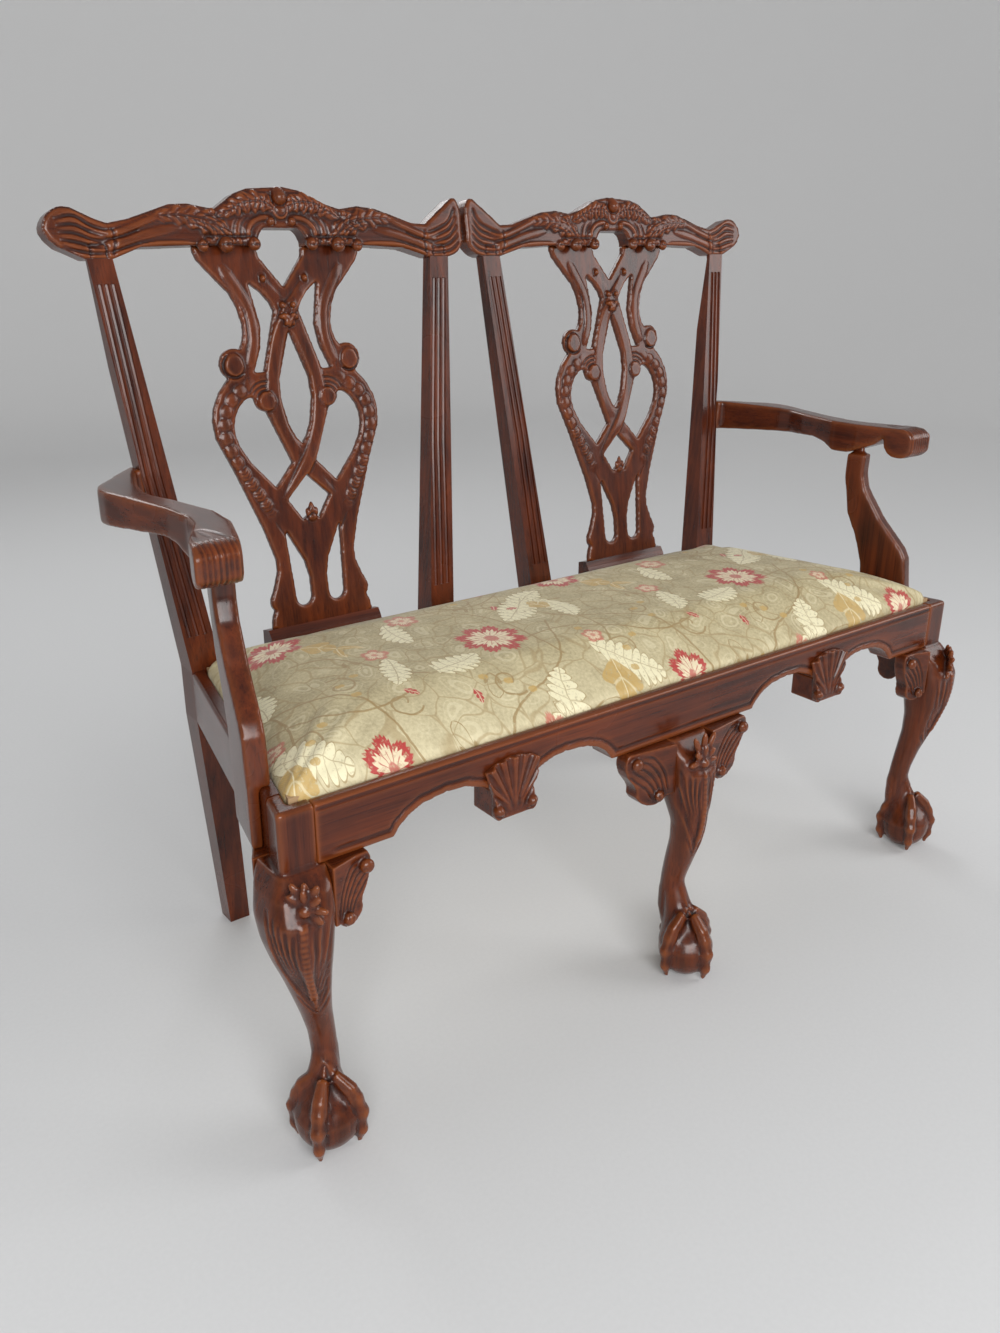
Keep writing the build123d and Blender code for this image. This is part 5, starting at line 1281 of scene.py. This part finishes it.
def make_seat():
    """The seat's crowned top, a skirt inside the rebate, and a hem under the frame."""
    shape = bmesh.new()
    cloth = shape.loops.layers.uv.new("cloth")
    top = [[shape.verts.new(seat_spot(column, row)) for column in range(seat_columns + 1)]
           for row in range(seat_rows + 1)]
    bridge(shape, top)
    flat = {vert: vert.co.xy for row in top for vert in row}
    rim = top[0][:-1] + [row[-1] for row in top[:-1]] + top[-1][:0:-1] + [row[0] for row in top[:0:-1]]
    middle_y = seat_low.y + seat_depth / 2
    heights = [seat_edge + (seat_low.z - seat_edge) * step / skirt_rows for step in range(1, skirt_rows + 1)]
    rings = [rim]
    for step, height in enumerate(heights + [seat_low.z]):
        rings.append([])
        hem = hem_width if step == skirt_rows else 0.0
        for vert in rim:
            x, y, _ = vert.co
            away = Vector((x / seat_front, (y - middle_y) / (seat_depth / 2))).normalized()
            inward = Vector((max(-hem, min(hem, -x)), max(-hem, min(hem, middle_y - y))))
            lowered = shape.verts.new((x + inward.x, y + inward.y, height))
            flat[lowered] = flat[vert] + away * (seat_edge - height + hem)
            rings[-1].append(lowered)
    bridge(shape, rings, closed=True)
    hemmed = dict(zip(rim, rings[-1]))
    under = []
    for row in top:
        under.append([])
        for vert in row:
            if vert not in hemmed:
                x, y, _ = vert.co
                x, y = x * under_shrink[0], middle_y + (y - middle_y) * under_shrink[1]
                hemmed[vert] = shape.verts.new((x, y, seat_low.z))
                flat[hemmed[vert]] = flat[vert]
            under[-1].append(hemmed[vert])
    bridge(shape, under)
    for face in shape.faces:
        for loop in face.loops:
            loop[cloth].uv = flat[loop.vert]
    bmesh.ops.recalc_face_normals(shape, faces=shape.faces)
    return in_scene("seat_cloth", mesh_from(shape, "seat_cloth"))


def swell_seat(seat):
    """Blows the seat's top up under its stuffing, held at its rim, by no more than the limit."""
    stride = seat_columns + 1
    count = stride * (seat_rows + 1)
    start = rows_of(seat.data.vertices, "co", 3)
    corners = [row * stride + column for row in range(seat_rows) for column in range(seat_columns)]
    top = bpy.data.meshes.new("seat_top")
    quads = [(at, at + 1, at + stride + 1, at + stride) for at in corners]
    top.from_pydata(start[:count].tolist(), [], quads)
    skin = in_scene("seat_top", top)
    held = skin.vertex_groups.new(name="held")
    held.add([row * stride + column for row in range(seat_rows + 1) for column in range(stride)
              if row in (0, seat_rows) or column in (0, seat_columns)], 1.0, "REPLACE")
    cloth = skin.modifiers.new("cloth", "CLOTH").settings
    cloth.vertex_group_mass = "held"
    cloth.use_pressure = True
    cloth.uniform_pressure_force = swell_pressure
    cloth.effector_weights.gravity = 0.0
    for step in range(1, swell_frames + 1):
        bpy.context.scene.frame_set(step)
    shaped = final_mesh(skin)
    moved = rows_of(shaped.vertices, "co", 3) - start[:count]
    travel = np.linalg.norm(moved, axis=1)[:, None]
    start[:count] += moved * np.minimum(1.0, swell_limit / np.maximum(travel, 1e-9))
    seat.data.vertices.foreach_set("co", start.ravel())
    seat.data.update()
    bpy.data.objects.remove(skin)
    bpy.data.meshes.remove(top)
    bpy.data.meshes.remove(shaped)
    bpy.context.scene.frame_set(1)


seat_cloth = make_seat()
swell_seat(seat_cloth)
finer = seat_cloth.modifiers.new("finer", "SUBSURF")
finer.levels = 1
finer.render_levels = 1
fine_mesh = final_mesh(seat_cloth)
seat_cloth.modifiers.clear()
seat_cloth.data = fine_mesh
fine_mesh.shade_smooth()

# Floral cloth
# Woven furnishing cloth: a mottled sage and gold ground with cream feather leaves, tan
# vines with berries, gold seed pods and red toothed flowers, repeated along the seat.
ground_dark = (0.330, 0.268, 0.142, 1.0)
ground_pale = (0.540, 0.462, 0.268, 1.0)
# Pale cream for the woven damask figures, also used as the painted sheen laid on the ground where the cloth
# faces the camera.
damask_and_sheen_pale = (0.74, 0.67, 0.45, 1.0)
leaf_cream = (0.80, 0.74, 0.50, 1.0)
vine_tan = (0.30, 0.195, 0.070, 1.0)
pod_gold = (0.50, 0.325, 0.095, 1.0)
flower_red = (0.42, 0.012, 0.020, 1.0)
flower_pink = (0.52, 0.11, 0.08, 1.0)
repeat_width = 0.46
repeat_depth = 0.60
repeat_shift = (0.31, 0.305)
thread_wobble = 0.005
berry_size = 0.0066
cover_threads = 900.0
cover_bump = (0.45, 0.0009)
wobble_noise = (60.0, 2.0)
mottle_noise = (230.0, 3.0, 0.7)
worn_noise = (26.0, 2.0)
scroll_size = 24.0
scroll_half_width = 0.034
scroll_share = 0.45
scroll_noise = (16.0, 1.0)
scroll_swing = 0.06
damask_waves = 34.0
damask_share = 0.34
edge_softness = 0.0008
stem_half_width = 0.0020
tendril_half_width = 0.0018
rib_half_width = 0.0011
outline_half_width = 0.0012
petal_teeth = 41.0
heart_teeth = 29.0


def local_axes(place, x, y, turn):
    """Distance along and across a motif that is set down at x and y and turned."""
    place_x, place_y, _ = place.parts()
    dx, dy = place_x - x, place_y - y
    return dx * turn.cosine() + dy * turn.sine(), dy * turn.cosine() - dx * turn.sine()


def flower_motif(place, x, y, turn, size, petals):
    """A flower with a toothed rim, a pale inside, dark veins and a dark eye."""
    along, across = local_axes(place, x, y, turn)
    far = (along * along + across * across) ** 0.5 / size
    angle = across.math("ARCTAN2", along)
    half_turns = angle * petals * 0.5
    body = abs(half_turns.cosine()) ** 0.6 * 0.36 + 0.58
    petal_mask = (body + (angle * petal_teeth).sine() * 0.05 - far).step(0.05)
    heart = (body * 0.66 + (angle * heart_teeth).sine() * 0.07 - far).step(0.05)
    rays = abs((half_turns * 2.0).sine())
    veins = (0.30 - rays).step(0.12) * (0.48 - far).step(0.08)
    eye = (0.15 - abs(far - 0.06)).step(0.04)
    return petal_mask, heart, veins.highest(eye) * heart


def leaf_motif(place, x, y, turn, length, width, lobes, curve):
    """A curved leaf or pod with a lobed edge, side veins and a midrib."""
    along, across = local_axes(place, x, y, turn)
    share = along / length
    off = abs(across - share * share * length * curve)
    inside = share.step(0.02) * (1.0 - share).step(0.02)
    swell = (share * pi).sine().highest(0.0) ** 0.7
    comb = abs((share * lobes * pi + off / width * 2.2).sine())
    half = width * swell * (comb ** 0.6 * 0.52 + 0.48)
    blade = (half - off).step(0.0009) * inside
    midrib = (rib_half_width - off).step(0.0007)
    side_veins = (0.24 - comb).step(0.12) * 0.7
    outline = (outline_half_width - abs(half - off)).step(0.0006) * inside
    return blade, midrib.highest(side_veins) * blade, outline


def curl_motif(place, x, y, turn, radius):
    """A tendril that curls into an open ring."""
    along, across = local_axes(place, x, y, turn)
    far = (along * along + across * across) ** 0.5
    path = radius * (across.math("ARCTAN2", along) * 0.16 + 0.72)
    return [(tendril_half_width - abs(far - path)).step(edge_softness)]


def vine_motif(place, x, y, turn, length, sway, turns):
    """A winding stem."""
    along, across = local_axes(place, x, y, turn)
    share = along / length
    path = (share * turns * (2 * pi)).sine() * sway
    inside = share.step(0.02) * (1.0 - share).step(0.02)
    return [(stem_half_width - abs(across - path)).step(edge_softness) * inside]


flower = shared_group("woven_flower", "Place X Y Turn Size Petals", "Petal Heart Veins", flower_motif)
leaf = shared_group("woven_leaf", "Place X Y Turn Length Width Lobes Curve", "Blade Rib Outline", leaf_motif)
curl = shared_group("woven_curl", "Place X Y Turn Radius", "Stem", curl_motif)
vine = shared_group("woven_vine", "Place X Y Turn Length Sway Turns", "Stem", vine_motif)

# Layout in one repeat, in metres from its lower left corner: place, turn, then the
# motif's own sizes in the order of its function.
red_flowers = ((0.115, 0.245, 0.2, 0.050, 8.0), (0.345, 0.400, 0.9, 0.044, 7.0),
               (0.335, 0.095, 0.5, 0.034, 6.0))
pink_flowers = ((0.215, 0.430, 0.4, 0.030, 6.0), (0.060, 0.370, 1.3, 0.026, 6.0),
                (0.235, 0.185, 0.2, 0.017, 5.0), (0.425, 0.280, 0.0, 0.020, 5.0),
                (0.095, 0.080, 0.7, 0.024, 6.0), (0.300, 0.540, 0.3, 0.026, 6.0))
red_buds = ((0.185, 0.330, 0.9, 0.020, 0.006, 3.0, 0.2), (0.200, 0.322, 0.3, 0.018, 0.006, 3.0, -0.2),
            (0.415, 0.165, 2.1, 0.020, 0.006, 3.0, 0.2), (0.020, 0.130, 1.2, 0.022, 0.006, 3.0, 0.3))
cream_leaves = ((0.170, 0.285, 0.5, 0.105, 0.030, 9.0, 0.25), (0.070, 0.215, 3.6, 0.085, 0.025, 8.0, -0.3),
                (0.290, 0.370, 3.5, 0.105, 0.028, 9.0, 0.3), (0.395, 0.430, 0.7, 0.085, 0.024, 8.0, -0.2),
                (0.295, 0.105, 2.7, 0.100, 0.028, 9.0, -0.3), (0.370, 0.070, 5.6, 0.075, 0.024, 7.0, 0.2),
                (0.262, 0.250, 1.2, 0.085, 0.022, 8.0, 0.4), (0.028, 0.290, 1.9, 0.075, 0.022, 7.0, -0.4),
                (0.150, 0.150, 4.2, 0.095, 0.026, 8.0, 0.3), (0.100, 0.440, 0.1, 0.095, 0.024, 8.0, 0.2),
                (0.400, 0.190, 0.9, 0.075, 0.020, 7.0, 0.3), (0.200, 0.500, 2.8, 0.100, 0.025, 9.0, 0.3),
                (0.370, 0.510, 0.3, 0.085, 0.024, 8.0, -0.3), (0.060, 0.030, 0.6, 0.095, 0.025, 8.0, 0.3))
gold_pods = ((0.215, 0.085, 1.2, 0.058, 0.027, 2.0, 0.1), (0.400, 0.330, 2.2, 0.048, 0.021, 2.0, 0.1),
             (0.020, 0.440, 0.7, 0.050, 0.022, 2.0, 0.0), (0.245, 0.335, 4.9, 0.040, 0.016, 2.0, 0.1),
             (0.165, 0.540, 1.4, 0.050, 0.022, 2.0, 0.0))
gold_leaves = ((0.215, 0.085, 3.3, 0.040, 0.011, 1.0, 0.3), (0.215, 0.085, 5.0, 0.040, 0.011, 1.0, -0.3),
               (0.400, 0.330, 4.3, 0.034, 0.009, 1.0, 0.3), (0.400, 0.330, 6.0, 0.034, 0.009, 1.0, -0.3))
hollow_leaves = ((0.215, 0.088, 2.6, 0.070, 0.007, 1.0, 0.9), (0.215, 0.088, -0.2, 0.070, 0.007, 1.0, -0.9),
                 (0.130, 0.345, 0.6, 0.034, 0.011, 1.0, 0.0), (0.385, 0.250, 1.4, 0.032, 0.010, 1.0, 0.2),
                 (0.045, 0.130, 1.3, 0.040, 0.012, 1.0, 0.0), (0.300, 0.300, 2.2, 0.036, 0.011, 1.0, 0.2),
                 (0.430, 0.120, 4.8, 0.040, 0.012, 1.0, 0.1))
vines = ((0.010, 0.045, 0.75, 0.300, 0.018, 1.2), (0.440, 0.030, 2.2, 0.330, 0.020, 1.3),
         (0.025, 0.345, 0.25, 0.330, 0.018, 1.5), (0.225, 0.010, 1.45, 0.300, 0.016, 1.1),
         (0.445, 0.560, 3.7, 0.300, 0.018, 1.2), (0.080, 0.580, 5.3, 0.260, 0.016, 1.2),
         (0.150, 0.220, 6.1, 0.260, 0.020, 1.0), (0.130, 0.360, 5.0, 0.200, 0.014, 0.8),
         (0.330, 0.330, 5.5, 0.180, 0.014, 0.9), (0.010, 0.500, 5.6, 0.280, 0.018, 1.1))
curls = ((0.265, 0.150, 0.3, 0.022), (0.072, 0.150, 2.2, 0.020), (0.158, 0.390, 4.0, 0.021),
         (0.430, 0.440, 1.2, 0.022), (0.345, 0.225, 5.0, 0.020), (0.250, 0.030, 3.0, 0.020),
         (0.200, 0.350, 0.8, 0.018), (0.390, 0.160, 2.6, 0.019))
berries = ((0.265, 0.150), (0.290, 0.168), (0.255, 0.120), (0.072, 0.150), (0.045, 0.165), (0.095, 0.130),
           (0.158, 0.390), (0.185, 0.400), (0.430, 0.440), (0.448, 0.415), (0.345, 0.225), (0.372, 0.240),
           (0.350, 0.195), (0.230, 0.210), (0.015, 0.090))


def floral_weave(tree):
    """The cover's colours and threads."""
    uv = wire_from(tree, "ShaderNodeUVMap", uv_map="cloth")
    x, y, _ = uv.parts()
    cell = wire_from(tree, "ShaderNodeCombineXYZ",
                     (x + repeat_shift[0]).math("FLOORED_MODULO", repeat_width),
                     (y + repeat_shift[1]).math("FLOORED_MODULO", repeat_depth))
    wobble = uv.noise(*wobble_noise, output="Color").vector("SUBTRACT", (0.5, 0.5, 0.5))
    place = cell.vector("ADD", wobble.vector("MULTIPLY", (thread_wobble, thread_wobble, 0.0)))

    def drawn(group, rows):
        """A motif's masks, with all of its repeats in each."""
        repeats = [grouped(tree, group, place, *row) for row in rows]
        return [reduce(Wire.highest, masks) for masks in zip(*repeats)]

    leaf_mask, leaf_rib, leaf_line = drawn(leaf, cream_leaves)
    stems = drawn(vine, vines)[0].highest(drawn(curl, curls)[0]).highest(drawn(leaf, hollow_leaves)[2])
    pod_mask, pod_rib, _ = drawn(leaf, gold_pods + gold_leaves)
    bud_mask, bud_rib, _ = drawn(leaf, red_buds)
    pink_mask, pink_heart, pink_veins = drawn(flower, pink_flowers)
    red_mask, red_heart, red_veins = drawn(flower, red_flowers)
    berry_mask = drawn(flower, [(x, y, 0.0, berry_size, 2.0) for x, y in berries])[0]

    mottle = uv.noise(*mottle_noise)
    worn = uv.noise(*worn_noise) * 0.6 + mottle
    swing = uv.noise(*scroll_noise, output="Color").vector("MULTIPLY", (scroll_swing, scroll_swing, 0.0))
    swung = uv.vector("ADD", swing)

    def cells(feature):
        return wire_from(tree, "ShaderNodeTexVoronoi", swung, None, scroll_size, output="Distance",
                         feature=feature)

    scrolls = (scroll_half_width - cells("DISTANCE_TO_EDGE")).step(0.02)
    patches = cells("F1")
    damask = (patches * damask_waves).sine().step(0.3) * (0.42 - patches).step(0.05)
    # Painted sheen: the ground is blended towards pale cream where the cloth faces the camera, standing in
    # for the light its satin threads reflect.
    turned = wire_from(tree, "ShaderNodeLayerWeight", 0.5, output="Facing")
    painted_sheen = turned.ramp(0.50, 0.15) * (worn * 0.5 + 0.1)
    colour = worn.ramp(0.58, 1.02).blend(ground_dark, ground_pale)
    colour = (damask * damask_share).blend(colour, damask_and_sheen_pale)
    colour = painted_sheen.blend(colour, damask_and_sheen_pale)
    colour = (scrolls * scroll_share).blend(colour, vine_tan)
    thin = mottle.ramp(0.30, 0.46)
    for mask, paint, weight in (
            (stems, vine_tan, 0.8), (leaf_mask, leaf_cream, 0.92), (leaf_rib, vine_tan, 0.6),
            (leaf_line, vine_tan, 0.65), (pod_mask, pod_gold, 0.85), (pod_rib, leaf_cream, 0.7),
            (berry_mask, pod_gold, 0.8), (pink_mask, flower_pink, 0.75), (pink_heart, leaf_cream, 0.7),
            (pink_veins, flower_pink, 0.7), (bud_mask, flower_red, 0.92), (bud_rib, leaf_cream, 0.6),
            (red_mask, flower_red, 0.92), (red_heart, leaf_cream, 0.85), (red_veins, flower_red, 0.75)):
        colour = (mask * weight * thin).blend(colour, paint)
    raised = reduce(Wire.highest, [leaf_mask, pod_mask, red_mask, pink_mask, bud_mask, stems])
    threads, _ = grouped(tree, plain_weave, uv, cover_threads)
    height = threads * 0.35 + raised * 0.45 + mottle * 0.5
    return {"Base Color": colour, "Roughness": raised * -0.12 + 0.66, "Normal": bumped(height, *cover_bump)}


fine_mesh.materials.clear()
fine_mesh.materials.append(surface("floral_cloth", floral_weave, Sheen_Weight=0.12, Sheen_Roughness=0.4))
shown(seat_cloth, "seat_cover", "seat_padding", body="drop_in_seat", slot_name="seat_fabric")
